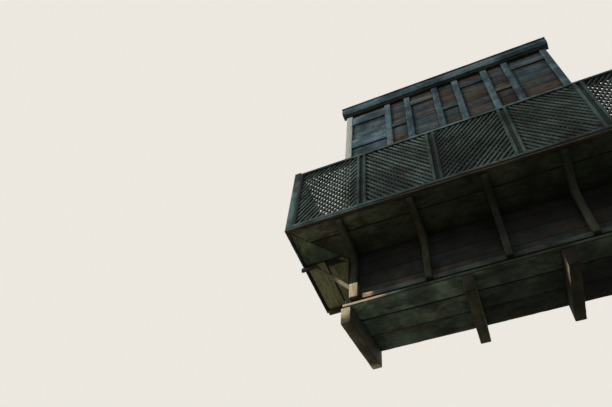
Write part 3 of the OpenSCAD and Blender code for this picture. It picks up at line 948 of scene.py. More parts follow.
@dataclass
class SeatShelf:
    """Boards of the seat that runs round the three open sides."""

    moulding_deep: float = 0.020
    apron_thick: float = 0.020
    front_seam: float = -0.616
    arris: float = 0.0055
    # Painted light: the end boards are lightened, as by light thrown up from a sunlit wall, and most of all
    # under the left end.
    end_light_tones: tuple[float, ...] = (0.8, 2.0, 1.6)
    end_light: float = 0.46
    front_tones: tuple[float, ...] = (0.0, -0.7)
    cross_joint: float = -0.440
    end_seam: float = -1.155
    mitre_gap: float = 0.003
    bow: float = 0.001
    # Painted shade on the underside of the front boards, toward the right.
    painted_shade: float = 0.60
    shade_run: Run = (-1.0, -0.55)
    inner_share: float = 0.75

    def build(self, shop: Workshop) -> None:
        """Builds the front boards and the boards of both ends.

        Args:
            shop: The bench.
        """
        at = LINES
        edge_x, edge_y = at.half - self.moulding_deep, at.front + self.moulding_deep
        inner_x, inner_y = at.apron_x - self.apron_thick, at.apron + self.apron_thick
        away = Vector((edge_y - inner_y, edge_x - inner_x, 0.0)).normalized()
        boards = []
        spans = ((edge_y, self.front_seam), (self.front_seam + at.joint, inner_y))
        for (low, high), tone in zip(spans, self.front_tones):
            board = shop.saw(Timber((-edge_x, low, at.shelf), (edge_x, high, at.seat), Way.ALONG_WALL,
                                    arris=self.arris, bow=self.bow, worn=-0.004, tone=tone,
                                    sun_and_shade=self.in_shade))
            for side in (-1, 1):
                shop.cut_off(board, (side * edge_x, edge_y, 0.0), (side * -away.x, away.y, 0.0), self.arris)
            boards.append(board)
        shop.hand_over("seat_front_boards", boards, Finish.SHELF, "seat_front")
        for side, name in ((-1, "left"), (1, "right")):
            self.end(shop, name, side, edge_x, edge_y, inner_x, away)

    def painted_light(self, spot: Vector) -> float:
        """Paints light on the underside of the left end shelf between its brace and the wall."""
        under = ease(spot.z, LINES.shelf + self.arris, LINES.shelf) * (spot.x < 0)
        inner = self.inner_share if spot.x > self.end_seam + LINES.joint / 2 else 1.0
        return self.end_light * inner * under * (spot.y > self.cross_joint + LINES.joint / 2)

    def in_shade(self, spot: Vector) -> float:
        """Paints shade on the underside of the front boards to the right of their left end."""
        under = ease(spot.z, LINES.seat, LINES.shelf + self.arris)
        return -self.painted_shade * ease(spot.x, *self.shade_run) * under

    def end(self, shop: Workshop, name: str, side: int, edge_x: float, edge_y: float,
            inner_x: float, away: Vector) -> None:
        """Models the boards of one end shelf.

        Args:
            shop: The bench.
            name: Which end it is.
            side: -1 at the left end and 1 at the right.
            edge_x: Distance from the middle to the outer edge of the boards.
            edge_y: Front edge of the boards.
            inner_x: Distance from the middle to their inner edge.
            away: Direction across the mitre, for the right end.
        """
        at = LINES
        spans = (((-edge_x, edge_y), (-inner_x, self.cross_joint)),
                 ((-edge_x, self.cross_joint + at.joint), (self.end_seam, 0.0)),
                 ((self.end_seam + at.joint, self.cross_joint + at.joint), (-inner_x, 0.0)))
        boards = []
        # Each end board's tone is painted light.
        for (low, high), tone in zip(spans, self.end_light_tones):
            timber = Timber((*low, at.shelf), (*high, at.seat), Way.OUTWARD, arris=self.arris, bow=self.bow,
                            worn=-0.012, tone=tone, sun_and_shade=self.painted_light)
            board = shop.saw(at_both_ends(timber)[0 if side < 0 else 1])
            shop.cut_off(board, (side * edge_x, edge_y + self.mitre_gap, 0.0),
                         (side * away.x, -away.y, 0.0), self.arris)
            boards.append(board)
        shop.hand_over(f"seat_{name}_boards", boards, Finish.SHELF, f"seat_{name}")


@dataclass
class Apron:
    """Boards that close the space under the seat, with the edge rails along their foot."""

    thick: float = 0.020
    board_high: float = 0.132
    groove: float = 0.005
    rail_high: float = 0.062
    rail_gap: float = 0.014
    rail_thick: float = 0.018
    rail_end: float = 0.046
    # Painted shade: the boards are darker toward the seat above them, and their faces darken toward the
    # right.
    shading_tones: tuple[float, ...] = (0.5, -0.4, -0.9, -1.0)
    painted_shade: float = 0.42
    shade_run: Run = (-0.7, 0.3)
    # Painted sunlight at the left end of the front edge rail, and painted shade on the rest.
    rail_sun: float = 0.95
    rail_sun_run: Run = (-0.79, -0.87)
    rail_shade: float = 0.3
    rail_shade_run: Run = (-0.6, -0.3)
    rail_wave: float = 0.012
    waves: float = 5.5
    rail_lift: float = 0.008
    lift_run: Run = (-0.82, -0.90)

    def build(self, shop: Workshop) -> None:
        """Builds the apron on three sides and its edge rails.

        Args:
            shop: The bench.
        """
        at = LINES
        front, ends = [], []
        # Each board's tone is painted shade, deepest under the seat.
        for number, tone in enumerate(self.shading_tones):
            foot = at.floor + number * self.board_high
            head = min(foot + self.board_high, at.shelf)
            front.append(shop.saw(Timber(
                (-at.apron_x, at.apron, foot), (at.apron_x, at.apron + self.thick, head), Way.ALONG_WALL,
                arris=self.groove, bow=0.0006, tone=tone, sun_and_shade=self.in_shade)))
            end = Timber((-at.apron_x, at.apron + self.thick, foot), (-at.apron_x + self.thick, 0.0, head),
                         Way.OUTWARD, arris=self.groove, bow=0.0006, tone=tone)
            ends += shop.pair(end)
        shop.hand_over("apron_front_boards", front, Finish.APRON, "apron_front")
        shop.hand_over("apron_end_boards", ends, Finish.APRON, "apron_ends")
        self.edge_rails(shop)

    def edge_rails(self, shop: Workshop) -> None:
        """Models the edge rails; the front one is warped, and has painted sunlight at its left end and
        painted shade on the rest.
        """
        at = LINES
        foot, head = at.floor + self.rail_gap, at.floor + self.rail_high
        low = (at.first_knee + self.rail_end, at.apron - self.rail_thick, foot)
        high = (at.last_knee - self.rail_end, at.apron, head)
        front = Timber(low, high, Way.ALONG_WALL, arris=0.006, spacing=0.025, nibble=0.0014,
                       sun_and_shade=self.lit_and_shaded_rail, carve=self.warp)
        end = Timber((-at.apron_x - self.rail_thick, at.apron, foot), (-at.apron_x, 0.0, head),
                     Way.OUTWARD, arris=0.004, nibble=0.0012)
        shop.hand_over("edge_rails_warped", [shop.saw(front), *shop.pair(end)], Finish.EDGE, "edge_rails")

    def in_shade(self, spot: Vector) -> float:
        """Paints shade on the face of the front boards towards the right."""
        face = ease(spot.y, LINES.apron + self.thick, LINES.apron + self.groove)
        return -self.painted_shade * ease(spot.x, *self.shade_run) * face

    def lit_and_shaded_rail(self, spot: Vector) -> float:
        """Paints sunlight on the left end of the front edge rail and shade on the rest."""
        sun = self.rail_sun * ease(spot.x, *self.rail_sun_run)
        return sun - self.rail_shade * ease(spot.x, *self.rail_shade_run)

    def warp(self, spot: Vector) -> Vector:
        """Makes the upper edge of the front edge rail wavy and a little higher at the left end."""
        part = (spot.z - LINES.floor - self.rail_gap) / (self.rail_high - self.rail_gap)
        wave = noise.noise(Vector((spot.x * self.waves, 3.7, 0.0))) * self.rail_wave
        end = ease(spot.x, *self.lift_run) * self.rail_lift
        return Vector((0.0, 0.0, part * (wave + end)))


@dataclass
class Carriers:
    """Knee brackets, corner blocks, end braces and cleats that carry the seat."""

    knee_thick: float = 0.042
    arm: float = 0.038
    leg: float = 0.046
    hollow: float = 0.130
    nose: float = 0.026
    nose_round: float = 0.0265
    block_wide: float = 0.056
    block_low: float = -0.038
    block_high: float = 0.128
    block_deep: float = 0.046
    edge_rail_low: float = -0.046
    edge_rail_top: float = 0.002
    edge_rail_thick: float = 0.018
    shoulder: float = 0.004
    brace_thick: float = 0.020
    brace_high: float = 0.038
    brace_level: float = 0.062
    brace_nose: float = 0.014
    brace_front: float = -0.440
    moulding_deep: float = 0.020
    moulding_low: float = 0.412
    cleat_high: float = 0.036
    cleat_thick: float = 0.028
    bend_parts: int = 10
    # Painted shade: the knee brackets are darkened, the first less than the others.
    first_shade_tone: float = -0.7
    other_shade_tone: float = -1.15
    brace_tone: float = -0.3
    # Painted sunlight at the foot of the left brace.
    brace_sun: float = 0.6
    brace_run: Run = (-1.12, -0.99)
    brace_parts: int = 4

    def build(self, shop: Workshop) -> None:
        """Builds all that carries the seat.

        Args:
            shop: The bench.
        """
        for number in range(1, LINES.knees + 1):
            self.knee(shop, number)
        self.blocks(shop)
        self.braces(shop)
        cleat = Timber((-LINES.half + self.moulding_deep, -self.cleat_thick, LINES.shelf - self.cleat_high),
                       (-LINES.apron_x, 0.0, LINES.shelf), Way.ALONG_WALL, arris=0.004)
        shop.hand_over("wall_cleats_worn", shop.pair(cleat), Finish.RAW, "wall_cleats")

    def centre(self) -> tuple[float, float]:
        """Centre of the hollow between arm and leg, as y and z."""
        return LINES.apron - self.leg - self.hollow, LINES.shelf - self.arm - self.hollow

    def knee(self, shop: Workshop, number: int) -> None:
        """Models a knee bracket: up the leg, round the hollow and out along the arm.

        The outer brackets stand on the corner blocks; the legs of the others are notched so that
        their feet pass in front of the edge rail.

        Args:
            shop: The bench.
            number: Which bracket, from 1 at the left.
        """
        at, (y, z) = LINES, self.centre()
        outermost = number in (1, at.knees)
        foot = self.block_low + self.block_high if outermost else self.edge_rail_top + self.shoulder
        pairs = [] if outermost else [
            ((y + self.hollow, level), (at.apron - self.edge_rail_thick, level))
            for level in (self.edge_rail_low, self.edge_rail_top)]
        pairs += [((y + self.hollow, foot + (z - foot) * n / 4), (at.apron, foot + (z - foot) * n / 4))
                  for n in range(4)]
        corner = math.atan2(at.shelf - z, at.apron - y)
        turns = [math.pi / 2 * n / self.bend_parts for n in range(self.bend_parts + 1)]
        for turn in sorted([*turns, corner]):
            across, up = math.cos(turn), math.sin(turn)
            reach = min((at.apron - y) / max(across, 1e-6), (at.shelf - z) / max(up, 1e-6))
            pairs.append(((y + self.hollow * across, z + self.hollow * up),
                          (y + reach * across, z + reach * up)))
        end = at.front + self.nose
        for n in range(1, 4):
            place = y + (end - y) * n / 3
            pairs.append(((place, at.shelf - self.arm), (place, at.shelf)))
        x = at.knee_x(number)
        sides = (x - self.knee_thick / 2, x + self.knee_thick / 2)
        stations = [[(sides[0], *inner), (sides[1], *inner), (sides[1], *outer), (sides[0], *outer)]
                    for inner, outer in pairs]
        # Painted shade by the bracket's tone.
        timber = Timber((0, 0, 0), (0, 0, 0), Way.UPRIGHT, arris=0.004, bow=0.0005, nibble=0.0010,
                        worn=0.006, tone=self.first_shade_tone if number == 1 else self.other_shade_tone)
        crook = shop.sweep(stations, timber, self.lay, self.nose_edge)
        shop.hand_over(f"knee_bracket_{number}_crook", [crook], Finish.CROOK, f"knee_bracket_{number}")

    def lay(self, spot: Vector) -> Vector:
        """Gives the place in the grain, which follows the bend of a bracket."""
        y, z = self.centre()
        middle = self.hollow + self.leg / 2
        if spot.z < z:
            return Vector((spot.z - z, spot.y - y, spot.x))
        if spot.y < y:
            return Vector((middle * math.pi / 2 + y - spot.y, spot.z - z, spot.x))
        turn = math.atan2(spot.z - z, spot.y - y)
        return Vector((middle * turn, math.hypot(spot.z - z, spot.y - y), spot.x))

    def nose_edge(self, edge: bmesh.types.BMEdge) -> float:
        """Gives the rounding under the front end of an arm, and nothing for other edges."""
        end, under = LINES.front + self.nose, LINES.shelf - self.arm
        return self.nose_round if lies_at(edge, end, under) else 0.0

    def blocks(self, shop: Workshop) -> None:
        """Models the blocks at the foot of the outer brackets."""
        at, made = LINES, []
        for x, sun_and_shade in ((at.first_knee, self.sunlit_block), (at.last_knee, None)):
            made.append(shop.saw(Timber(
                (x - self.block_wide / 2, at.apron - self.block_deep, self.block_low),
                (x + self.block_wide / 2, at.apron, self.block_low + self.block_high),
                Way.UPRIGHT, arris=0.005, spacing=0.02, nibble=0.0014, sun_and_shade=sun_and_shade)))
        shop.hand_over("corner_blocks_worn", made, Finish.RAW, "corner_blocks")

    def sunlit_block(self, spot: Vector) -> float:
        """Paints sunlight on the front of the left corner block."""
        return on_face(spot.y, LINES.apron - self.block_deep)

    def sunlit_brace(self, spot: Vector) -> float:
        """Paints sunlight on the foot of the left brace."""
        return self.brace_sun * ease(spot.x, *self.brace_run) * (spot.x < 0)

    def braces(self, shop: Workshop) -> None:
        """Models the brace under each end shelf, notched over the moulding and run down to the block."""
        at, made = LINES, []
        foot, low = self.block_low + self.block_high, at.shelf - self.brace_high
        bend, inner = self.moulding_deep + self.brace_level, self.moulding_deep
        front, back = self.brace_front, self.brace_front + self.brace_thick
        for side, knee_x in ((-1, at.first_knee), (1, at.last_knee)):
            run = at.half - abs(knee_x + side * self.block_wide / 2)
            profile = [(-self.brace_nose, self.moulding_low, low), (inner - 0.0005, self.moulding_low, low),
                       (inner, at.shelf, low)]
            for part in (n / self.brace_parts for n in range(self.brace_parts + 1)):
                fall = (foot - at.shelf) * part
                profile.append((bend + (run - bend) * part, at.shelf + fall, low + fall))
            stations = []
            for place, top, under in profile:
                x = side * (at.half - place)
                stations.append([(x, front, under), (x, back, under), (x, back, top), (x, front, top)])
            timber = Timber((0, 0, 0), (0, 0, 0), Way.ALONG_WALL, arris=0.003, bow=0.0004, nibble=0.0008,
                            tone=self.brace_tone, sun_and_shade=self.sunlit_brace)
            made.append(shop.sweep(stations, timber))
        shop.hand_over("end_braces_worn", made, Finish.RAW, "end_braces")


@dataclass
class FloorDeck:
    """Floor boards on four joists that come out of the wall."""

    board: float = 0.140
    lip_x: float = 1.0205
    joist_wide: float = 0.063
    joist_high: float = 0.138
    joist_end: float = -0.418
    chamfer: float = 0.008
    joists: tuple[float, ...] = (-0.9745, -0.25935, 0.29925, 0.9745)
    # Painted light and shade: the first joist is lightened and the others darkened.
    shading_tones: tuple[float, ...] = (1.0, -0.7, -1.5, -1.5)
    # Painted light: the front board is lightened, and those behind it little.
    board_light_tones: tuple[float, ...] = (2.8, 0.6, 0.1, 0.0)
    board_arrises: tuple[float, ...] = (0.005, 0.004, 0.0015, 0.0015)
    strays: tuple[Run, ...] = ((-0.023, 0.030), (0.009, -0.011), (0.011, -0.030), (0.0, 0.0))
    lip_depth: float = 0.0035
    # Painted sunlight on the lip at the left end; painted shade on the lip further right, and on the
    # underside toward the right and the wall.
    lip_sun_run: Run = (-0.60, -0.95)
    lip_shade: float = 0.85
    lip_shade_run: Run = (-0.75, -0.60)
    painted_shade: float = 0.38
    shade_run: Run = (-0.42, -0.12)
    wall_shade: float = 0.40
    wall_run: Run = (-0.33, -0.20)
    far_shade: float = 0.25
    far_run: Run = (0.25, 0.45)
    # Painted shade on the joists' front ends and on the right side of the first; painted sunlight on the
    # first joist's end and foot, and a sunlit stripe on the third.
    end_shades: tuple[float, ...] = (0.0, 0.82, 0.7, 0.82)
    side_shade: float = 0.6
    end_sun_run: Run = (-0.21, -0.14)
    foot_sun: float = 0.8
    foot_sun_run: Run = (-0.05, -0.02)
    sun_streak: float = 0.42
    sun_streak_run: Run = (-0.24, -0.30)
    sun_streak_rise: Run = (-0.12, -0.222)

    def build(self, shop: Workshop) -> None:
        """Builds the boards and the joists.

        Args:
            shop: The bench.
        """
        at, boards = LINES, []
        edge = at.lip
        # Each board's tone is painted light, strongest on the front board.
        for tone, arris in zip(self.board_light_tones, self.board_arrises):
            back = min(edge + self.board, 0.0)
            if back - edge < self.board / 8:
                break
            board = Timber((-self.lip_x, edge, at.floor_under), (self.lip_x, back, at.floor), Way.ALONG_WALL,
                           arris=arris, spacing=0.04, bow=0.001, nibble=0.0014, tone=tone,
                           sun_and_shade=self.lit_and_shaded_lip)
            boards.append(shop.saw(board))
            edge = back + at.joint
        shop.hand_over("floor_boards_worn", boards, Finish.FLOOR, "floor_boards")
        for number, x in enumerate(self.joists, 1):
            # Painted light and shade on each joist, by its tone and at each point.
            joist = Timber((x - self.joist_wide / 2, self.joist_end, self.joist_foot()),
                           (x + self.joist_wide / 2, 0.0, at.floor_under), Way.OUTWARD, arris=0.005,
                           spacing=0.03, bow=0.0012, nibble=0.0018, sun_and_shade=partial(self.lit_and_shaded_joist, number),
                           carve=self.stray(number), tone=self.shading_tones[number - 1])
            made = shop.saw(joist, self.under_end)
            shop.hand_over(f"joist_{number}_worn", [made], Finish.JOIST, f"joist_{number}")

    def joist_foot(self) -> float:
        """Level of the joists' underside."""
        return LINES.floor_under - self.joist_high

    def lit_and_shaded_lip(self, spot: Vector) -> float:
        """Paints sunlight on the front edge at the left end, and shade on what lies to the right and at the
        wall.
        """
        edge = on_face(spot.y, LINES.lip, self.lip_depth)
        right = ease(spot.x, *self.shade_run) * (self.painted_shade + self.wall_shade * ease(spot.y, *self.wall_run))
        right = right + self.far_shade * ease(spot.x, *self.far_run)
        right = right * ease(spot.z, LINES.floor, LINES.floor_under + 0.005)
        sun = max(ease(spot.x, *self.lip_sun_run) * edge - right, 0.0)
        return sun - max(right, self.lip_shade * edge * ease(spot.x, *self.lip_shade_run))

    def stray(self, number: int) -> Shift:
        """Tells how far a joist lies out of square, at its front end and at the wall."""
        front, wall = self.strays[number - 1]
        return lambda spot: Vector((wall + (front - wall) * spot.y / self.joist_end, 0.0, 0.0))

    def lit_and_shaded_joist(self, number: int, spot: Vector) -> float:
        """Paints sunlight and shade on a joist.

        Args:
            number: Which joist, from 1 at the left.
            spot: A point of it.

        Returns:
            Painted sunlight where above 0 and painted shade where below.
        """
        end, middle = on_face(spot.y, self.joist_end), self.joists[number - 1]
        sun_and_shade = -self.end_shades[number - 1] * end
        if number == 1:
            foot = self.foot_sun * ease(spot.y, *self.foot_sun_run) * on_face(spot.z, self.joist_foot())
            sun_and_shade = max(end * ease(spot.z, *self.end_sun_run), foot)
            sun_and_shade -= self.side_shade * on_face(spot.x, middle + self.joist_wide / 2, -SKIN)
        if number == 3:
            sun_streak = self.sun_streak * on_face(spot.x, middle - self.joist_wide / 2)
            sun_and_shade += sun_streak * ease(spot.y, *self.sun_streak_run) * ease(spot.z, *self.sun_streak_rise)
        return sun_and_shade

    def under_end(self, edge: bmesh.types.BMEdge) -> float:
        """Gives the chamfer under the front end of a joist, and nothing for other edges."""
        return self.chamfer if lies_at(edge, self.joist_end, self.joist_foot()) else 0.0


@dataclass
class WallScreen:
    """The framed and boarded screen on the wall, its header and the low back under its sill."""

    left: float = -1.2225
    right: float = 1.0205
    parts: tuple[float, ...] = (1.98, 1.0, 1.39, 1.0, 1.39, 1.0, 1.8)
    mullion: float = 0.066
    deep: float = 0.036
    sill_top: float = 0.530
    threshold_x: float = 0.9775
    threshold_top: float = 0.060
    rail_deep: float = 0.031
    rail_high: float = 0.110
    low_rail_high: float = 0.070
    lock_rail: float = 1.340
    head_rail: float = 1.800
    left_rail_high: float = 0.190
    left_low_rail: float = 2.860
    high_rail: float = 3.430
    low_rail: float = 3.040
    plank: float = 0.168
    plank_thick: float = 0.016
    header_high: float = 0.120
    header_deep: float = 0.104
    header_over: float = 0.042
    strip_deep: float = 0.052
    worn_columns: tuple[float, ...] = (-0.020, 0.034, 0.020, 0.040, 0.026, 0.040, 0.020)
    worn_rail: float = 0.045
    # Painted shade: the columns darken toward the right.
    shading_tones: tuple[float, ...] = (0.0, -0.3, -0.4, -0.6, -0.7, -0.8, -0.9, -0.9)
    # Painted shade: the strip under the header is darkened.
    strip_shade_tone: float = -1.5
    # Painted shade on the faces behind the parapet, and painted sunlight on the left jamb.
    painted_shade: float = 0.55
    shade_rise: Run = (2.62, 2.35)
    shade_depth: Run = (-0.004, -0.012)
    jamb_sun: float = 0.7
    jamb_side_sun: float = 0.1
    jamb_run: Run = (-1.160, -1.215)
    plank_scatter: float = 0.014

    def upright_x(self) -> list[float]:
        """Middles of the jambs and mullions, from the left."""
        narrow = (self.right - self.left - self.mullion) / sum(self.parts)
        first = self.left + self.mullion / 2
        return [first + narrow * sum(self.parts[:n]) for n in range(len(self.parts) + 1)]

    def columns(self) -> list[tuple[float, float]]:
        """Left and right edges of the columns between the uprights."""
        middles = self.upright_x()
        return [(a + self.mullion / 2, b - self.mullion / 2) for a, b in zip(middles, middles[1:])]

    def build(self, shop: Workshop) -> None:
        """Builds the screen.

        Args:
            shop: The bench.
        """
        self.frame(shop)
        self.rails(shop)
        self.planks(shop)
        self.header(shop)

    def frame(self, shop: Workshop) -> None:
        """Models the threshold, the sill, the jambs and the mullions."""
        at = LINES
        threshold = Timber((-self.threshold_x, -self.deep, at.floor),
                           (self.threshold_x, 0.0, self.threshold_top), Way.ALONG_WALL, arris=0.004)
        shop.hand_over("threshold_worn", [shop.saw(threshold)], Finish.RAW, "threshold")
        sill = Timber((self.left, -self.deep, at.seat), (self.right, 0.0, self.sill_top), Way.ALONG_WALL)
        shop.hand_over("screen_sill_worn", [shop.saw(sill)], Finish.SCREEN, "screen_sill")
        # Painted shade on the uprights toward the right and behind the parapet; painted sunlight on the left
        # jamb.
        uprights = [shop.saw(Timber((x - self.mullion / 2, -self.deep, self.sill_top),
                                    (x + self.mullion / 2, 0.0, at.strip), Way.UPRIGHT, arris=0.003,
                                    bow=0.0015, tone=self.shading_tones[number] / 2,
                                    sun_and_shade=self.sunlit_jamb if number == 0 else self.in_shade))
                    for number, x in enumerate(self.upright_x())]
        shop.hand_over("jambs_worn", [uprights[0], uprights[-1]], Finish.SCREEN, "jambs")
        shop.hand_over("mullions_worn", uprights[1:-1], Finish.SCREEN, "mullions")

    def in_shade(self, spot: Vector) -> float:
        """Paints shade on the faces that stand behind the parapet."""
        return -self.painted_shade * ease(spot.z, *self.shade_rise) * ease(spot.y, *self.shade_depth)

    def sunlit_jamb(self, spot: Vector) -> float:
        """Paints sunlight on the left jamb over its whole height."""
        return self.jamb_sun + self.jamb_side_sun * ease(spot.x, *self.jamb_run)

    def rails(self, shop: Workshop) -> None:
        """Models the cross rails: high in every other column, a lock and a head rail in all.

        The left column has one more, seen in the photograph just above the parapet.
        """
        made = []
        for number, (left, right) in enumerate(self.columns()):
            upper = (self.low_rail, self.low_rail_high)
            if number % 2 == 0:
                upper = (self.high_rail, self.rail_high if number else self.left_rail_high)
            bars = [(self.lock_rail, self.rail_high), (self.head_rail, self.rail_high), upper]
            if number == 0:
                bars.append((self.left_low_rail, self.left_rail_high))
            for foot, high in bars:
                # Painted shade on the rails by column and behind the parapet.
                made.append(shop.saw(Timber(
                    (left, -self.rail_deep, foot), (right, -self.plank_thick, foot + high),
                    Way.ALONG_WALL, arris=0.0025, worn=self.worn_rail if number else 0.0,
                    tone=self.shading_tones[number], sun_and_shade=self.in_shade)))
        shop.hand_over("cross_rails_worn", made, Finish.SCREEN, "cross_rails")

    def planks(self, shop: Workshop) -> None:
        """Models the planks that fill the columns, and the low back under the sill."""
        made = []
        # Painted shade on the planks by column and behind the parapet.
        for (left, right), worn, tone in zip(self.columns(), self.worn_columns, self.shading_tones):
            made += self.stack(shop, (left, right), self.sill_top, LINES.strip, worn, tone)
        ends = (-self.threshold_x, self.threshold_x)
        made += self.stack(shop, ends, self.threshold_top, LINES.seat, 0.0, 0.0)
        shop.hand_over("planks_peeled", made, Finish.PLANK, "planks")

    def stack(self, shop: Workshop, ends: tuple[float, float], foot: float, head: float,
              worn: float, tone: float) -> list[bpy.types.Object]:
        """Models planks one above the other.

        Args:
            shop: The bench.
            ends: Their left and right ends.
            foot: Underside of the lowest.
            head: Top of the highest.
            worn: Their added loss of paint.
            tone: Their added lightness.

        Returns:
            The planks.
        """
        made = []
        while foot < head - 0.001:
            top = foot + self.plank
            if head - top < self.plank / 4:
                top = head
            top = min(top, head)
            bare = worn + shop.chance.gauss(0, self.plank_scatter)
            made.append(shop.saw(Timber((ends[0], -self.plank_thick, foot), (ends[1], 0.0, top),
                                        Way.ALONG_WALL, arris=0.0045, spacing=0.12, bow=0.0008, worn=bare,
                                        tone=tone, sun_and_shade=self.in_shade)))
            foot = top
        return made

    def header(self, shop: Workshop) -> None:
        """Models the header with its sloped soffit and cap, and the strip under it, darkened with painted
        shade.
        """
        at, cap = LINES, self.header_high / 6
        left, right = self.left - self.header_over, self.right + self.header_over
        face, top = -self.header_deep + cap / 2, at.header + self.header_high
        body = shop.saw(Timber((left, face, at.header), (right, 0.0, top - cap), Way.ALONG_WALL, bow=0.0015))
        foot = (0.0, -self.header_deep * 2 / 3, at.header)
        slope = Vector((0.0, -self.header_high / 3, -(foot[1] - face)))
        shop.cut_off(body, foot, tuple(slope.normalized()))
        lid = shop.saw(Timber((left, -self.header_deep, top - cap), (right, 0.0, top), Way.ALONG_WALL))
        shop.hand_over("header_worn", [body, lid], Finish.SCREEN, "header")
        # The strip's tone is painted shade.
        strip = Timber((self.left, -self.strip_deep, at.strip), (self.right, 0.0, at.header), Way.ALONG_WALL,
                       tone=self.strip_shade_tone)
        shop.hand_over("header_strip_worn", [shop.saw(strip)], Finish.RAW, "header_strip")


@dataclass(frozen=True)
class DistantLamp:
    """A wide, soft, distant lamp.

    Attributes:
        name: Name of the lamp.
        towards: Direction from the balcony to the lamp.
        level: Strength.
        angle: Width of the lamp, in degrees.
        colour: Its colour.
    """

    name: str
    towards: Triple
    level: float
    angle: float
    colour: Triple


DISTANT_LAMPS = (
    DistantLamp("key", (-0.74, -0.46, 0.49), 2.9, 22.0, (1.0, 0.95, 0.87)),
    DistantLamp("fill", (0.35, -0.85, 0.25), 0.8, 60.0, (0.9, 0.96, 1.0)),
    DistantLamp("rim", (0.62, 0.5, 0.6), 1.6, 60.0, (1.0, 0.97, 0.93)),
)


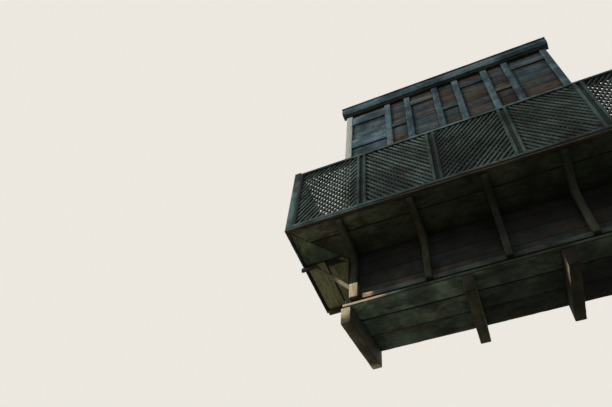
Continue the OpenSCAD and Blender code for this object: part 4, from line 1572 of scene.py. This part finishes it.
@dataclass
class Studio:
    """Pale room with soft light, and the camera at the photograph's place."""

    place: Triple = (-0.0189, -2.7536, -2.9599)
    heading: float = math.radians(30.22)
    pitch: float = math.radians(57.72)
    roll: float = math.radians(8.35)
    focal: float = 620.6
    image_wide: int = 612
    sensor: float = 36.0
    floor: float = -6.6
    floor_size: float = 60.0
    floor_bounce: Triple = (0.16, 0.16, 0.15)
    backdrop: Triple = srgb(236, 232, 224)
    ambience: Triple = (0.86, 0.93, 1.0)
    ambient_level: float = 0.30
    bounce_place: Triple = (-2.9, -1.5, -1.7)
    bounce_aim: Triple = (-0.9, -0.4, 0.3)
    bounce_level: float = 13.0
    bounce_size: float = 2.0
    bounce_colour: Triple = (1.0, 0.86, 0.66)
    clip: Run = (0.05, 200.0)

    def build(self) -> None:
        """Builds room, light and camera."""
        bpy.context.scene.view_settings.view_transform = "Standard"
        self.world()
        self.floor_plane()
        for lamp in DISTANT_LAMPS:
            self.distant(lamp)
        self.bounce()
        self.camera()

    def world(self) -> None:
        """Lights the room evenly and shows a pale background to the camera and to reflections."""
        world = bpy.data.worlds.new("pale_room")
        bpy.context.scene.world = world
        sky = Shader(world)
        light = sky.node("ShaderNodeBackground", {}, {"Color": self.ambience, "Strength": self.ambient_level})
        shown = sky.node("ShaderNodeBackground", {}, {"Color": self.backdrop})
        mixed = sky.node("ShaderNodeMixShader", {}, {0: self.seen_directly(sky), 1: light, 2: shown})
        sky.node("ShaderNodeOutputWorld", {}, {"Surface": mixed})

    def floor_plane(self) -> None:
        """Lays a pale floor far below, so that the underside can be seen from any height."""
        Workshop.clear()
        bpy.ops.mesh.primitive_plane_add(size=self.floor_size, location=(0.0, 0.0, self.floor))
        plane = bpy.context.active_object
        plane.name = "studio_floor"
        shader = Shader(bpy.data.materials.new("studio_floor_pale"))
        place = shader.node("ShaderNodeTexCoord", {}, {}, "Object")
        tone = shader.mottle(place, (0.4, 0.4, 0.4), 2.0)
        colour = shader.blend(tone, srgb(226, 222, 214), srgb(234, 230, 222))
        pale = shader.node("ShaderNodeBsdfPrincipled", {}, {"Base Color": colour, "Roughness": 0.9})
        dim = shader.node("ShaderNodeBsdfDiffuse", {}, {"Color": self.floor_bounce})
        seen = self.seen_directly(shader)
        surface = shader.node("ShaderNodeMixShader", {}, {0: seen, 1: dim, 2: pale})
        shader.node("ShaderNodeOutputMaterial", {}, {"Surface": surface})
        plane.data.materials.append(shader.owner)

    @staticmethod
    def seen_directly(shader: Shader) -> Reading:
        """Gives 1 for rays from the camera, from gloss and through glass, and 0 for light."""
        rays = [shader.node("ShaderNodeLightPath", {}, {}, ray)
                for ray in ("Is Camera Ray", "Is Glossy Ray", "Is Transmission Ray")]
        return rays[0] + rays[1] + rays[2]

    def distant(self, lamp: DistantLamp) -> None:
        """Adds a distant lamp."""
        data = bpy.data.lights.new(lamp.name, "SUN")
        data.energy, data.angle, data.color = lamp.level, math.radians(lamp.angle), lamp.colour
        self.hang(data, Vector(lamp.towards))

    def bounce(self) -> None:
        """Adds the warm light that a sunlit wall throws up at the left end."""
        data = bpy.data.lights.new("wall_bounce", "AREA")
        data.energy, data.size, data.color = self.bounce_level, self.bounce_size, self.bounce_colour
        self.hang(data, Vector(self.bounce_place) - Vector(self.bounce_aim), self.bounce_place)

    @staticmethod
    def hang(data: bpy.types.Light, towards: Vector, place: Triple = (0.0, 0.0, 0.0)) -> None:
        """Puts a lamp in the room.

        Args:
            data: The lamp.
            towards: Direction from what it lights to the lamp.
            place: Where it hangs.
        """
        lamp = bpy.data.objects.new(data.name, data)
        bpy.context.collection.objects.link(lamp)
        lamp.location = place
        lamp.rotation_mode = "QUATERNION"
        lamp.rotation_quaternion = towards.to_track_quat("Z", "Y")

    def camera(self) -> None:
        """Sets the camera where the photographer stood."""
        ahead = Vector((-math.sin(self.heading) * math.cos(self.pitch),
                        math.cos(self.heading) * math.cos(self.pitch), math.sin(self.pitch)))
        level = Vector((math.cos(self.heading), math.sin(self.heading), 0.0))
        upward = level.cross(ahead)
        right = math.cos(self.roll) * level + math.sin(self.roll) * upward
        up = -math.sin(self.roll) * level + math.cos(self.roll) * upward
        data = bpy.data.cameras.new("street_view")
        data.sensor_fit, data.sensor_width = "HORIZONTAL", self.sensor
        data.lens = self.focal / self.image_wide * self.sensor
        data.clip_start, data.clip_end = self.clip
        camera = bpy.data.objects.new("street_view", data)
        bpy.context.collection.objects.link(camera)
        turn = Matrix((right, up, -ahead)).transposed().to_4x4()
        camera.matrix_world = Matrix.Translation(self.place) @ turn
        bpy.context.scene.camera = camera


def main() -> None:
    """Builds the room and every sub-assembly, in order."""
    logging.basicConfig(level=logging.INFO, format="%(name)s: %(message)s")
    Studio().build()
    shop = Workshop()
    for assembly in (Parapet, LatticePanels, SeatShelf, Apron, Carriers, FloorDeck, WallScreen):
        log.info("building the %s", assembly.__name__)
        assembly().build(shop)


if __name__ == "__main__":
    main()
